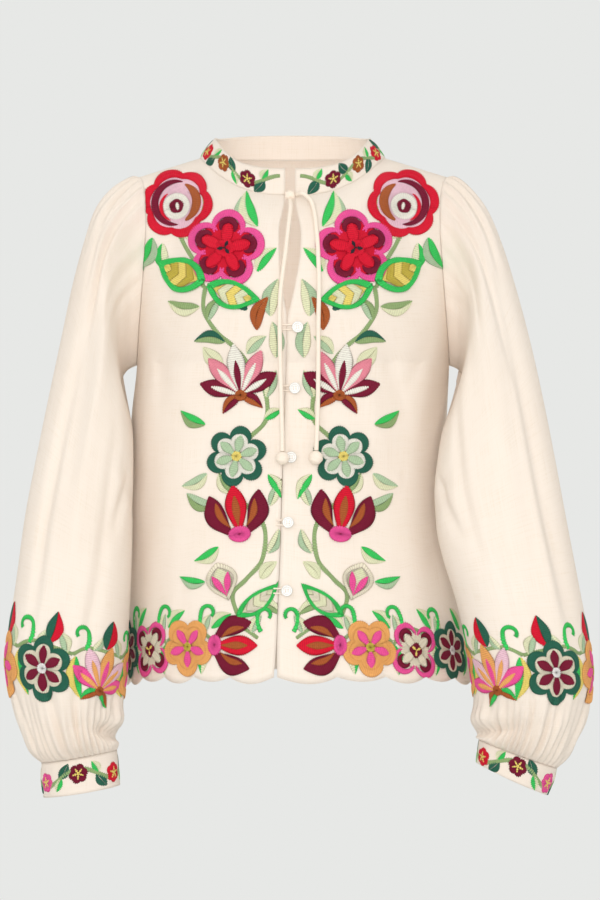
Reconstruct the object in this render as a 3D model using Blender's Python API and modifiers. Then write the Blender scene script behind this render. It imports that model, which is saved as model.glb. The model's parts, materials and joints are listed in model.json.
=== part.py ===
"""A worn, hollow long-sleeve blouse: two fronts, a back, gathered sleeves, cuffs and a
band collar, with its buttons, button loops and knotted neck tie.

Metres, +Z up. The front faces -Y. The origin lies on the shoulder line, at the centre.
Right and left are the wearer's, so the right sleeve is at -X.
"""

import math
from collections import namedtuple

import bmesh
import bpy
from mathutils import Vector
from mathutils.bvhtree import BVHTree

RIGHT, LEFT = -1, 1
FRONT, BACK = -1, 1

# Cloth walls, and the clearances that part the pieces
WALL = 0.0015
COLLAR_WALL = 0.0018
PIECE_GAP = 0.0003
SEAM_GAP = 0.0009
ARMHOLE_GAP = 0.0007
COLLAR_GAP = 0.0011
CUFF_GAP = 0.0006
CLOSED_GAP = 0.0006

# Body cut: shoulder seam, neckline and armhole
SHOULDER_Y = 0.008
TIP_X, TIP_Z = 0.162, -0.008
NECK_X, NECK_Z = 0.096, 0.012
NECK_REACH = {FRONT: 0.080, BACK: 0.060}
NECK_CENTRE_Z = {FRONT: -0.032, BACK: 0.014}
NECK_CURVE = 2.4
UNDERARM_Z = -0.205
ARMHOLE_ANGLE = {FRONT: math.radians(17), BACK: math.radians(20)}
CHEST_LIFT = 0.080
CHEST_SWELL = {FRONT: 0.010, BACK: 0.004}
SHOULDER_ROLL = {FRONT: 0.045, BACK: 0.050}
NECK_ROLL = {FRONT: (0.030, 0.026), BACK: (0.030, 0.012)}
SECTION_POWER = 2.2

Section = namedtuple("Section", "z half_width front_depth back_depth centre_x")
BODY_SECTIONS = [
    Section(-0.205, 0.1630, 0.122, 0.106, 0.0000),
    Section(-0.250, 0.1645, 0.124, 0.107, -0.0035),
    Section(-0.300, 0.1655, 0.126, 0.108, -0.0065),
    Section(-0.360, 0.1680, 0.129, 0.112, -0.0060),
    Section(-0.430, 0.1740, 0.133, 0.118, 0.0000),
    Section(-0.490, 0.1795, 0.137, 0.124, 0.0055),
    Section(-0.560, 0.1835, 0.142, 0.130, 0.0105),
]

# Front opening: neck slit, edge to edge closing, and a short slit at the hem
Slit = namedtuple("Slit", "z centre_x half_gap")
FRONT_SLIT = [
    Slit(-0.030, -0.0030, 0.0052),
    Slit(-0.044, -0.0032, 0.0062),
    Slit(-0.066, -0.0032, 0.0108),
    Slit(-0.090, -0.0030, 0.0106),
    Slit(-0.115, -0.0040, 0.0080),
    Slit(-0.140, -0.0050, 0.0042),
    Slit(-0.160, -0.0060, 0.0003),
    Slit(-0.250, -0.0085, 0.0003),
    Slit(-0.400, -0.0130, 0.0003),
    Slit(-0.480, -0.0160, 0.0003),
    Slit(-0.545, -0.0180, 0.0022),
]

# Hem: a line that falls towards the side seams, with shallow scallops below it
HEM_Z = -0.523
HEM_FALL = 0.013
SCALLOPS = 6
SCALLOP_DROPS = (0.007, 0.005)

# Soft troughs in the body cloth
Trough = namedtuple("Trough", "face x top_z bottom_z depth half_width")
BODY_TROUGHS = [
    Trough(FRONT, 0.106, -0.150, -0.320, 0.0035, 0.018),
    Trough(FRONT, -0.130, -0.160, -0.300, 0.0030, 0.020),
    Trough(FRONT, 0.075, -0.380, -0.560, 0.0030, 0.020),
    Trough(FRONT, -0.085, -0.400, -0.560, 0.0030, 0.022),
    Trough(BACK, 0.000, -0.060, -0.330, 0.0030, 0.022),
    Trough(BACK, 0.085, -0.230, -0.560, 0.0050, 0.024),
    Trough(BACK, -0.080, -0.260, -0.560, 0.0050, 0.022),
]

# Grid steps
BODY_COLUMNS = 18
NECK_COLUMNS = 10
LOWER_ROWS = 7
ARMHOLE_ROWS = 10
SLEEVE_COLUMNS = 4 * ARMHOLE_ROWS
BAND_ROWS = 2

# Sleeve rings, from the first below the head seam to the cuff seam. X is measured
# outwards from the centre line. Gathers stand out by the gather column.
Ring = namedtuple("Ring", "outer_x outer_y outer_z inner_x inner_y inner_z half_depth gather")
SLEEVE_RINGS = {
    RIGHT: [
        Ring(0.178, 0.004, -0.0105, 0.1700, -0.003, -0.212, 0.048, 0.0012),
        Ring(0.196, 0.000, -0.0230, 0.1740, -0.014, -0.222, 0.053, 0.0022),
        Ring(0.210, -0.006, -0.0440, 0.1720, -0.030, -0.236, 0.055, 0.0016),
        Ring(0.219, -0.014, -0.0780, 0.1680, -0.046, -0.254, 0.055, 0.0008),
        Ring(0.229, -0.026, -0.1220, 0.1650, -0.061, -0.277, 0.054, 0.0004),
        Ring(0.240, -0.039, -0.1780, 0.1640, -0.071, -0.306, 0.053, 0.0),
        Ring(0.252, -0.051, -0.2380, 0.1640, -0.077, -0.340, 0.053, 0.0),
        Ring(0.264, -0.062, -0.3000, 0.1645, -0.080, -0.378, 0.053, 0.0),
        Ring(0.275, -0.070, -0.3600, 0.1655, -0.081, -0.415, 0.054, 0.0),
        Ring(0.283, -0.078, -0.4220, 0.1670, -0.084, -0.452, 0.056, 0.0),
        Ring(0.290, -0.083, -0.4720, 0.1690, -0.086, -0.490, 0.059, 0.0),
        Ring(0.2935, -0.086, -0.5080, 0.1710, -0.088, -0.520, 0.061, 0.0004),
        Ring(0.2895, -0.088, -0.5420, 0.1735, -0.089, -0.548, 0.060, 0.0010),
        Ring(0.2815, -0.089, -0.5720, 0.1765, -0.089, -0.572, 0.056, 0.0018),
        Ring(0.2700, -0.089, -0.6000, 0.1775, -0.089, -0.590, 0.048, 0.0024),
        Ring(0.2570, -0.089, -0.6130, 0.1800, -0.089, -0.5995, 0.035, 0.0012),
    ],
    LEFT: [
        Ring(0.178, 0.004, -0.0105, 0.1700, -0.003, -0.212, 0.048, 0.0012),
        Ring(0.194, 0.000, -0.0260, 0.1730, -0.018, -0.222, 0.053, 0.0022),
        Ring(0.207, -0.008, -0.0460, 0.1680, -0.038, -0.236, 0.055, 0.0016),
        Ring(0.218, -0.020, -0.0780, 0.1600, -0.058, -0.254, 0.056, 0.0008),
        Ring(0.230, -0.034, -0.1220, 0.1530, -0.074, -0.276, 0.056, 0.0004),
        Ring(0.244, -0.050, -0.1780, 0.1480, -0.086, -0.303, 0.055, 0.0),
        Ring(0.257, -0.066, -0.2400, 0.1445, -0.094, -0.335, 0.055, 0.0),
        Ring(0.269, -0.080, -0.3050, 0.1455, -0.100, -0.370, 0.055, 0.0),
        Ring(0.280, -0.091, -0.3680, 0.1530, -0.104, -0.405, 0.056, 0.0),
        Ring(0.291, -0.099, -0.4280, 0.1640, -0.106, -0.440, 0.058, 0.0),
        Ring(0.300, -0.104, -0.4780, 0.1740, -0.107, -0.480, 0.061, 0.0),
        Ring(0.304, -0.106, -0.5150, 0.1810, -0.107, -0.515, 0.063, 0.0004),
        Ring(0.303, -0.107, -0.5480, 0.1840, -0.107, -0.545, 0.062, 0.0010),
        Ring(0.296, -0.107, -0.5760, 0.1835, -0.107, -0.568, 0.057, 0.0018),
        Ring(0.282, -0.107, -0.6030, 0.1845, -0.107, -0.583, 0.047, 0.0024),
        Ring(0.2685, -0.107, -0.6170, 0.1895, -0.107, -0.5880, 0.035, 0.0012),
    ],
}
HEAD_RINGS = 5
HEAD_BLEND = (0.30, 0.60, 0.82, 0.95)

# Long sleeve folds: angle 0 is the outer edge, 90 the front, 180 the inner edge.
# Rings are counted from the head seam.
Fold = namedtuple("Fold", "top_ring top_angle low_ring low_angle depth half_angle")
SLEEVE_FOLDS = {
    RIGHT: [
        Fold(2.0, 72, 8.5, 74, 0.0050, 15),
        Fold(1.5, 122, 6.0, 118, 0.0035, 14),
        Fold(9.0, 90, 13.0, 58, 0.0040, 14),
        Fold(12.0, 150, 15.5, 120, 0.0050, 16),
        Fold(12.0, 40, 15.5, 62, 0.0040, 14),
        Fold(2.0, 285, 9.0, 290, 0.0050, 16),
        Fold(7.0, 250, 14.0, 262, 0.0045, 16),
    ],
    LEFT: [
        Fold(1.5, 50, 12.0, 46, 0.0055, 13),
        Fold(2.0, 112, 8.0, 92, 0.0040, 15),
        Fold(9.0, 84, 13.5, 70, 0.0035, 14),
        Fold(12.5, 128, 15.5, 108, 0.0050, 16),
        Fold(12.5, 30, 15.5, 50, 0.0040, 14),
        Fold(2.0, 300, 9.0, 288, 0.0050, 16),
        Fold(8.0, 240, 14.0, 256, 0.0045, 16),
    ],
}

# Cuffs: the lower edge of each, below its sleeve's last ring
CUFF_EDGE = {
    RIGHT: Ring(0.2550, -0.092, -0.6480, 0.1765, -0.092, -0.6355, 0.037, 0.0),
    LEFT: Ring(0.2590, -0.111, -0.6440, 0.1860, -0.111, -0.6110, 0.037, 0.0),
}

# Collar band: how far its top edge rises and leans in, at the centres and at the sides
COLLAR_RISE = {FRONT: 0.028, BACK: 0.026}
COLLAR_SIDE_RISE = 0.021
COLLAR_LEAN = {FRONT: 0.006, BACK: 0.007}
COLLAR_SIDE_LEAN = 0.016

# Buttons and their loops
BUTTON_RADIUS = 0.0058
BUTTON_THICKNESS = 0.0020
BUTTON_RIM = 0.0004
BUTTON_EDGE = 0.0005
BUTTON_WELL = (0.62, 0.74)
BUTTON_STEPS = 14
BUTTON_CREASE = math.radians(35)
SHANK_RADIUS = 0.0009
SHANK_LENGTH = 0.0025
HOLE_RADIUS = 0.0006
HOLE_OFFSET = 0.0013
HOLE_COUNT = 4
HOLE_SIDES = 6
BUTTON_PLACES = [
    (0.0047, -0.169),
    (0.0018, -0.231),
    (-0.0020, -0.301),
    (-0.0050, -0.367),
    (-0.0062, -0.436),
]
LOOP_RADIUS = 0.0008
LOOP_BEND = 0.0024
LOOP_TAIL = 0.0050
LOOP_CLEARANCE = 0.0006
LOOP_BEND_STEPS = 6
LOOP_REST = (-0.012, 0.004)
LOOP_SEAM_ZONE = 0.002

# Neck tie
TIE_RADIUS = 0.00225
TIE_STEP = 0.011
TIE_PARTS = 12
TIE_TOP_Z = -0.040
KNOT_X, KNOT_Z = -0.0030, -0.0316
KNOT_SIZE = (0.0056, 0.0040, 0.0045)
KNOT_SINK = 0.0018
KNOT_EXIT = {RIGHT: (0.0002, -0.0026, -0.0058), LEFT: (0.0074, -0.0016, 0.0000)}
BEAD_RADIUS = {RIGHT: 0.0067, LEFT: 0.0071}
REST_OFFSET = 0.024

# Free ends of the tie, from the knot down: place in the front view and the height of
# the cord's middle above the cloth
Station = namedtuple("Station", "x z height")
TIE_ROUTES = {
    RIGHT: [
        Station(-0.0024, -0.0440, 0.0036),
        Station(-0.0032, -0.0530, 0.0034),
        Station(-0.0052, -0.0710, 0.0034),
        Station(-0.0082, -0.0990, 0.0034),
        Station(-0.0113, -0.1215, 0.0036),
        Station(-0.0134, -0.1490, 0.0042),
        Station(-0.0130, -0.1900, 0.0052),
        Station(-0.0118, -0.2400, 0.0070),
        Station(-0.0110, -0.2700, 0.0092),
        Station(-0.0107, -0.2950, 0.0115),
    ],
    LEFT: [
        Station(0.0090, -0.0306, 0.0052),
        Station(0.0140, -0.0330, 0.0046),
        Station(0.0195, -0.0412, 0.0038),
        Station(0.0232, -0.0600, 0.0032),
        Station(0.0256, -0.0940, 0.0032),
        Station(0.0266, -0.1270, 0.0034),
        Station(0.0258, -0.1610, 0.0036),
        Station(0.0256, -0.2270, 0.0044),
        Station(0.0248, -0.2630, 0.0056),
        Station(0.0236, -0.2940, 0.0076),
    ],
}

# Finish of each kind of piece: colour, roughness
COTTON = ("cream_cotton", (0.90, 0.80, 0.67, 1.0), 0.9)
STITCHED = ("stitched_cotton", (0.86, 0.74, 0.62, 1.0), 0.85)
SHELL = ("button_shell", (0.88, 0.86, 0.82, 1.0), 0.25)
CORD = ("cotton_cord", (0.91, 0.82, 0.70, 1.0), 0.85)


def clear_scene():
    for obj in list(bpy.data.objects):
        bpy.data.objects.remove(obj, do_unlink=True)


def make_material(finish):
    name, colour, roughness = finish
    material = bpy.data.materials.new(name)
    material.use_nodes = True
    shader = material.node_tree.nodes["Principled BSDF"]
    shader.inputs["Base Color"].default_value = colour
    shader.inputs["Roughness"].default_value = roughness
    shader.inputs["Metallic"].default_value = 0.0
    material.diffuse_color = colour
    return material


def add_object(name, data, finish, collection, root):
    obj = bpy.data.objects.new(name, data)
    if not data.materials:
        data.materials.append(make_material(finish))
    collection.objects.link(obj)
    obj.parent = root
    return obj


def through(before, start, end, after, share):
    """A smooth step between start and end, with the neighbours' slopes."""
    rise = (end - before) / 2
    leave = (after - start) / 2
    across = end - start
    bend = 3 * across - 2 * rise - leave
    twist = rise + leave - 2 * across
    return start + share * (rise + share * (bend + share * twist))


def between(rows, place):
    """The row at a fractional place in a table, every column smoothed."""
    place = min(max(place, 0.0), len(rows) - 1.0)
    index = min(int(place), len(rows) - 2)
    share = place - index
    four = [rows[min(max(index + step, 0), len(rows) - 1)] for step in (-1, 0, 1, 2)]
    return type(rows[0])(*(through(*values, share) for values in zip(*four)))


def at_height(rows, z):
    """The row at a height, from a table that runs downwards."""
    if z >= rows[0].z:
        return rows[0]
    for index in range(len(rows) - 1):
        upper, lower = rows[index].z, rows[index + 1].z
        if z >= lower:
            return between(rows, index + (upper - z) / (upper - lower))
    return rows[-1]


def power(value, exponent):
    return max(value, 0.0) ** exponent


def section_point(section, side, face, angle):
    """A point of a level body section: angle 0 is the side seam, 90 degrees the centre."""
    depth = section.front_depth if face == FRONT else section.back_depth
    x = section.centre_x + side * section.half_width * power(
        math.cos(angle), 2 / SECTION_POWER
    )
    y = face * depth * power(math.sin(angle), 2 / SECTION_POWER)
    return Vector((x, y, section.z))


NECK_ANGLE = math.pi / 2 * (1 - NECK_COLUMNS / BODY_COLUMNS)


def top_point(side, face, angle):
    """A point of the upper edge: the shoulder seam out to its tip, then the neckline."""
    if angle <= NECK_ANGLE:
        share = (1 - math.cos(angle)) / (1 - math.cos(NECK_ANGLE))
        x = TIP_X + (NECK_X - TIP_X) * share
        z = TIP_Z + (NECK_Z - TIP_Z) * share
        return Vector((side * x, SHOULDER_Y, z))
    turn = math.pi / 2 * (angle - NECK_ANGLE) / (math.pi / 2 - NECK_ANGLE)
    x = NECK_X * math.cos(turn)
    y = SHOULDER_Y + face * NECK_REACH[face] * math.sin(turn)
    drop = NECK_CENTRE_Z[face] - NECK_Z
    z = NECK_CENTRE_Z[face] - drop * power(math.cos(turn), NECK_CURVE)
    return Vector((side * x, y, z))


def upper_point(side, face, angle, share):
    """A point above the underarm: share 0 is the underarm level, 1 the upper edge."""
    start = section_point(BODY_SECTIONS[0], side, face, angle)
    end = top_point(side, face, angle)
    centred = power(math.sin(angle), 2)
    neck_out, neck_down = NECK_ROLL[face]
    roll = SHOULDER_ROLL[face] + (neck_out - SHOULDER_ROLL[face]) * centred
    swell = face * CHEST_SWELL[face] * centred
    first = start + Vector((0, swell, CHEST_LIFT))
    second = end + Vector((0, face * roll, -neck_down * centred))
    rest = 1 - share
    return (
        start * rest**3
        + first * 3 * rest**2 * share
        + second * 3 * rest * share**2
        + end * share**3
    )


def armhole_share(row):
    """Rows close up towards both ends of the armhole, so its curve is even."""
    return (1 - math.cos(math.pi * row / ARMHOLE_ROWS)) / 2


def armhole_angle(face, share):
    return ARMHOLE_ANGLE[face] * math.sqrt(max(math.sin(math.pi * share), 0.0))


def hem_height(across):
    """Height of the hem: across is 0 at the centre and 1 at the side seam."""
    lobe = across * SCALLOPS
    drop = SCALLOP_DROPS[int(lobe) % len(SCALLOP_DROPS)]
    inside = 2 * (lobe - int(lobe)) - 1
    return HEM_Z - HEM_FALL * across**3 - drop * (1 - inside * inside)


def trough_depth(face, point):
    depth = 0.0
    for trough in BODY_TROUGHS:
        if trough.face != face or not trough.bottom_z < point.z < trough.top_z:
            continue
        along = (trough.top_z - point.z) / (trough.top_z - trough.bottom_z)
        offset = (point.x - trough.x) / trough.half_width
        depth += trough.depth * math.sin(math.pi * min(along, 0.75)) * math.exp(-offset * offset)
    return depth


def body_point(side, face, across, row):
    """A point of the body cloth: across 0 is the centre, 1 the side seam or armhole."""
    if row <= LOWER_ROWS:
        rise = row / LOWER_ROWS
        z = hem_height(across) * (1 - rise) + UNDERARM_Z * rise
        section = at_height(BODY_SECTIONS, z)._replace(z=z)
        point = section_point(section, side, face, math.pi / 2 * (1 - across))
    else:
        share = armhole_share(row - LOWER_ROWS)
        edge = armhole_angle(face, share)
        angle = edge + (math.pi / 2 - edge) * (1 - across)
        point = upper_point(side, face, angle, share)
    point.y -= face * trough_depth(face, point)
    on_shoulder = row == LOWER_ROWS + ARMHOLE_ROWS and across >= NECK_COLUMNS / BODY_COLUMNS
    if on_shoulder or (across == 1 and row <= LOWER_ROWS):
        point.y += face * SEAM_GAP / 2
    return point


def front_point(side, across, row):
    """A front's point, drawn to its own edge of the opening at the centre."""
    point = body_point(side, FRONT, across, row)
    slit = at_height(FRONT_SLIT, point.z)
    middle = body_point(side, FRONT, 0, row)
    half_gap = max(slit.half_gap, CLOSED_GAP / 2)
    shift = slit.centre_x + side * half_gap - middle.x
    point.x += shift * (1 - across) ** 2
    return point


def back_point(across, row):
    side = LEFT if across >= 0 else RIGHT
    return body_point(side, BACK, abs(across), row)


def sheet_mesh(name, columns, rows, place, closed=False):
    """A grid laid out by place(column, row), with its faces turned away from the inside."""
    bm = bmesh.new()
    bmesh.ops.create_grid(bm, x_segments=columns, y_segments=rows, size=0.5)
    for vert in bm.verts:
        column = round((vert.co.x + 0.5) * columns)
        row = round((vert.co.y + 0.5) * rows)
        vert.co = place(column, row)
    if closed:
        bmesh.ops.remove_doubles(bm, verts=bm.verts, dist=1e-6)
    middle = sum((vert.co for vert in bm.verts), Vector()) / len(bm.verts)
    middle.y = max(middle.y, 0.0) if not closed else middle.y
    bm.normal_update()
    facing = sum(
        face.normal.dot(face.calc_center_median() - middle) * face.calc_area()
        for face in bm.faces
    )
    if facing < 0:
        bmesh.ops.reverse_faces(bm, faces=bm.faces)
    mesh = bpy.data.meshes.new(name)
    bm.to_mesh(mesh)
    bm.free()
    mesh.shade_smooth()
    return mesh


def thicken(obj, thickness):
    """The cloth's wall, grown inwards from its outer surface."""
    wall = obj.modifiers.new("wall", "SOLIDIFY")
    wall.thickness = thickness
    wall.offset = -1.0
    wall.use_even_offset = False


def make_fronts(collection, root):
    meshes = []
    for side, name in ((RIGHT, "front_right"), (LEFT, "front_left")):
        mesh = sheet_mesh(
            name,
            BODY_COLUMNS,
            LOWER_ROWS + ARMHOLE_ROWS,
            lambda column, row: front_point(side, column / BODY_COLUMNS, row),
        )
        thicken(add_object(name, mesh, COTTON, collection, root), WALL)
        meshes.append(mesh)
    return meshes


def make_back(collection, root):
    mesh = sheet_mesh(
        "back",
        2 * BODY_COLUMNS,
        LOWER_ROWS + ARMHOLE_ROWS,
        lambda column, row: back_point(column / BODY_COLUMNS - 1, row),
    )
    thicken(add_object("back", mesh, COTTON, collection, root), WALL)


def armhole_loop(side):
    """The armhole's edge as the panels have it, a point for each sleeve column."""
    stations = []
    for face, rows in ((FRONT, range(ARMHOLE_ROWS, 0, -1)), (BACK, range(ARMHOLE_ROWS))):
        for row in rows:
            share = armhole_share(row)
            stations.append(upper_point(side, face, armhole_angle(face, share), share))
    loop = []
    for index, point in enumerate(stations):
        loop.append(point)
        loop.append((point + stations[(index + 1) % len(stations)]) / 2)
    return loop


def fold_depth(side, ring, angle):
    """How far the long folds draw a sleeve's surface in."""
    depth = 0.0
    for fold in SLEEVE_FOLDS[side]:
        if not fold.top_ring < ring < fold.low_ring:
            continue
        along = (ring - fold.top_ring) / (fold.low_ring - fold.top_ring)
        line = fold.top_angle + (fold.low_angle - fold.top_angle) * along
        offset = ((angle - line + 180) % 360 - 180) / fold.half_angle
        depth += fold.depth * math.sin(math.pi * along) * math.exp(-offset * offset)
    return depth


def ring_point(side, ring, turn, swell):
    outer = Vector((side * ring.outer_x, ring.outer_y, ring.outer_z))
    inner = Vector((side * ring.inner_x, ring.inner_y, ring.inner_z))
    spoke = (outer - inner) / 2 * math.cos(turn) + Vector((0, -ring.half_depth, 0)) * math.sin(turn)
    return (outer + inner) / 2 + spoke * (1 + swell / spoke.length)


def sleeve_point(side, loop, column, row):
    column %= SLEEVE_COLUMNS
    turn = 2 * math.pi * column / SLEEVE_COLUMNS
    if row == 0:
        return loop[column] + Vector((side * ARMHOLE_GAP, 0, 0))
    ring = SLEEVE_RINGS[side][row - 1]
    strength = ring.gather if row > HEAD_RINGS else ring.gather * power(math.cos(turn / 2), 2)
    crest = 1 if column % 2 else -1
    swell = strength * crest - fold_depth(side, row, math.degrees(turn))
    point = ring_point(side, ring, turn, swell)
    if row <= len(HEAD_BLEND):
        centre = (ring_point(side, ring, 0, 0) + ring_point(side, ring, math.pi, 0)) / 2
        loop_centre = (loop[0] + loop[SLEEVE_COLUMNS // 2]) / 2
        carried = loop[column] - loop_centre + centre
        carried += (carried - centre).normalized() * swell
        point = carried.lerp(point, HEAD_BLEND[row - 1])
    return point


def make_sleeves(collection, root):
    for side, name in ((RIGHT, "sleeve_right"), (LEFT, "sleeve_left")):
        loop = armhole_loop(side)
        mesh = sheet_mesh(
            name,
            SLEEVE_COLUMNS,
            len(SLEEVE_RINGS[side]),
            lambda column, row: sleeve_point(side, loop, column, row),
            closed=True,
        )
        thicken(add_object(name, mesh, COTTON, collection, root), WALL)


def cuff_point(side, column, row):
    turn = 2 * math.pi * (column % SLEEVE_COLUMNS) / SLEEVE_COLUMNS
    top = ring_point(side, SLEEVE_RINGS[side][-1], turn, 0.0)
    edge = ring_point(side, CUFF_EDGE[side], turn, 0.0)
    top += (edge - top).normalized() * CUFF_GAP
    return top.lerp(edge, row / BAND_ROWS)


def make_cuffs(collection, root):
    for side, name in ((RIGHT, "cuff_right"), (LEFT, "cuff_left")):
        mesh = sheet_mesh(
            name,
            SLEEVE_COLUMNS,
            BAND_ROWS,
            lambda column, row: cuff_point(side, column, row),
            closed=True,
        )
        thicken(add_object(name, mesh, STITCHED, collection, root), COLLAR_WALL)


def neckline_point(step):
    """The neckline's corners in order: right front, round the back, left front."""
    top_row = LOWER_ROWS + ARMHOLE_ROWS
    quarter, place = divmod(step, NECK_COLUMNS)
    if quarter == 0:
        return front_point(RIGHT, place / BODY_COLUMNS, top_row)
    if quarter == 1:
        return back_point(-(NECK_COLUMNS - place) / BODY_COLUMNS, top_row)
    if quarter == 2:
        return back_point(place / BODY_COLUMNS, top_row)
    return front_point(LEFT, (4 * NECK_COLUMNS - step) / BODY_COLUMNS, top_row)


def collar_point(step, row):
    base = neckline_point(step)
    if step % (2 * NECK_COLUMNS) == NECK_COLUMNS:
        base.y = SHOULDER_Y
    base.z += COLLAR_GAP
    turn = math.pi / 2 * step / NECK_COLUMNS
    centred = math.cos(turn) ** 2
    face = FRONT if abs(step - 2 * NECK_COLUMNS) > NECK_COLUMNS else BACK
    rise = COLLAR_SIDE_RISE + (COLLAR_RISE[face] - COLLAR_SIDE_RISE) * centred
    lean = COLLAR_SIDE_LEAN + (COLLAR_LEAN[face] - COLLAR_SIDE_LEAN) * centred
    inwards = Vector((-base.x * (1 - centred), SHOULDER_Y - base.y, 0)).normalized()
    return base + (inwards * lean + Vector((0, 0, rise))) * (row / BAND_ROWS)


def make_collar(collection, root):
    mesh = sheet_mesh("collar", 4 * NECK_COLUMNS, BAND_ROWS, collar_point)
    thicken(add_object("collar", mesh, STITCHED, collection, root), COLLAR_WALL)


def front_finder(meshes):
    """A function that gives the cloth's point and outward direction at a front-view place."""
    trees = []
    for mesh in meshes:
        bm = bmesh.new()
        bm.from_mesh(mesh)
        trees.append(BVHTree.FromBMesh(bm))
        bm.free()

    def find(x, z):
        hits = [tree.ray_cast(Vector((x, -1, z)), Vector((0, 1, 0))) for tree in trees]
        hits = [hit for hit in hits if hit[0] is not None]
        return min(hits, key=lambda hit: hit[0].y)[:2]

    return find


def evaluated_mesh(obj, name):
    """The object's finished mesh, after which the object itself is removed."""
    depsgraph = bpy.context.evaluated_depsgraph_get()
    mesh = bpy.data.meshes.new_from_object(obj.evaluated_get(depsgraph))
    mesh.name = name
    bpy.data.objects.remove(obj, do_unlink=True)
    return mesh


def button_profile():
    """From the axis on the face, out over the rim and down to the end of the shank."""
    top = BUTTON_THICKNESS
    return [
        (0.0, top - BUTTON_RIM),
        (BUTTON_RADIUS * BUTTON_WELL[0], top - BUTTON_RIM),
        (BUTTON_RADIUS * BUTTON_WELL[1], top),
        (BUTTON_RADIUS - BUTTON_EDGE, top),
        (BUTTON_RADIUS, top - BUTTON_EDGE),
        (BUTTON_RADIUS - BUTTON_EDGE, 0.0),
        (SHANK_RADIUS, 0.0),
        (SHANK_RADIUS, -SHANK_LENGTH),
        (0.0, -SHANK_LENGTH),
    ]


def button_mesh(collection, cutters, root):
    """A four-hole button on its thread shank, facing +Z."""
    bm = bmesh.new()
    corners = [bm.verts.new((x, 0, z)) for x, z in button_profile()]
    for start, end in zip(corners, corners[1:]):
        bm.edges.new((start, end))
    profile = bpy.data.meshes.new("button_profile")
    bm.to_mesh(profile)
    bm.free()
    turned = add_object("button_profile", profile, SHELL, collection, root)
    screw = turned.modifiers.new("turn", "SCREW")
    screw.steps = screw.render_steps = BUTTON_STEPS
    screw.use_merge_vertices = True
    screw.merge_threshold = 1e-5
    drill = bmesh.new()
    for index in range(HOLE_COUNT):
        angle = math.pi * (2 * index + 1) / HOLE_COUNT
        made = bmesh.ops.create_cone(
            drill,
            cap_ends=True,
            segments=HOLE_SIDES,
            radius1=HOLE_RADIUS,
            radius2=HOLE_RADIUS,
            depth=4 * BUTTON_THICKNESS,
        )
        away = Vector((math.cos(angle), math.sin(angle), 0)) * HOLE_OFFSET * math.sqrt(2)
        bmesh.ops.translate(drill, verts=made["verts"], vec=away)
    holes = bpy.data.meshes.new("button_holes")
    drill.to_mesh(holes)
    drill.free()
    cutter = add_object("button_holes", holes, SHELL, cutters, root)
    cutter.hide_render = True
    cutter.display_type = "WIRE"
    cut = turned.modifiers.new("holes", "BOOLEAN")
    cut.operation = "DIFFERENCE"
    cut.object = cutter
    mesh = evaluated_mesh(turned, "button")
    bpy.data.objects.remove(cutter, do_unlink=True)
    mesh.set_sharp_from_angle(angle=BUTTON_CREASE)
    return mesh


def make_buttons(find, collection, cutters, root):
    mesh = button_mesh(collection, cutters, root)
    for number, (x, z) in enumerate(BUTTON_PLACES, 1):
        point, normal = find(x, z)
        obj = add_object(f"button_{number}", mesh, SHELL, collection, root)
        obj.location = point + normal * (PIECE_GAP + SHANK_LENGTH)
        obj.rotation_euler = normal.to_track_quat("Z", "Y").to_euler()


def add_tube(name, points, radius, resolution, finish, collection, root):
    curve = bpy.data.curves.new(name, "CURVE")
    curve.dimensions = "3D"
    curve.bevel_depth = radius
    curve.bevel_resolution = resolution
    curve.use_fill_caps = True
    spline = curve.splines.new("POLY")
    spline.points.add(len(points) - 1)
    for target, point in zip(spline.points, points):
        target.co = (*point, 1.0)
    spline.use_smooth = True
    return add_object(name, curve, finish, collection, root)


def make_loops(find, collection, root):
    """A cord loop from under the right front's edge, round each button's shank."""
    for number, (x, z) in enumerate(BUTTON_PLACES, 1):
        slit = at_height(FRONT_SLIT, z)
        start = slit.centre_x - slit.half_gap - LOOP_TAIL
        flat = [(start, LOOP_BEND), ((start + x) / 2, LOOP_BEND)]
        for step in range(LOOP_BEND_STEPS + 1):
            angle = math.pi / 2 - math.pi * step / LOOP_BEND_STEPS
            flat.append((x + LOOP_BEND * math.cos(angle), LOOP_BEND * math.sin(angle)))
        flat += [((start + x) / 2, -LOOP_BEND), (start, -LOOP_BEND)]
        face = min(find(x + offset, z)[0].y for offset in LOOP_REST)
        height = face - LOOP_CLEARANCE - LOOP_RADIUS
        points = []
        for along, up in flat:
            over_slit = abs(along - slit.centre_x) <= LOOP_SEAM_ZONE
            cloth = face if over_slit else find(along, z + up)[0].y
            depth = min(cloth - LOOP_CLEARANCE - LOOP_RADIUS, height)
            points.append(Vector((along, depth, z + up)))
        add_tube(f"loop_{number}", points, LOOP_RADIUS, 1, CORD, collection, root)


def smooth_route(corners, step):
    """Points a step apart along a smooth curve through the route's own points."""
    fine = []
    for index in range(len(corners) - 1):
        four = [corners[min(max(index + k, 0), len(corners) - 1)] for k in (-1, 0, 1, 2)]
        for part in range(TIE_PARTS):
            values = (through(*axis, part / TIE_PARTS) for axis in zip(*four))
            fine.append(Vector(values))
    fine.append(corners[-1])
    lengths = [0.0]
    for start, end in zip(fine, fine[1:]):
        lengths.append(lengths[-1] + (end - start).length)
    count = max(round(lengths[-1] / step), 2)
    points, index = [], 0
    for number in range(count + 1):
        target = lengths[-1] * number / count
        while index < len(fine) - 2 and lengths[index + 1] < target:
            index += 1
        share = (target - lengths[index]) / (lengths[index + 1] - lengths[index])
        points.append(fine[index].lerp(fine[index + 1], share))
    return points


def tie_depth(find, z):
    """How far forward the cloth reaches beside the opening at this height."""
    return min(find(offset, z)[0].y for offset in (-REST_OFFSET, REST_OFFSET))


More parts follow.
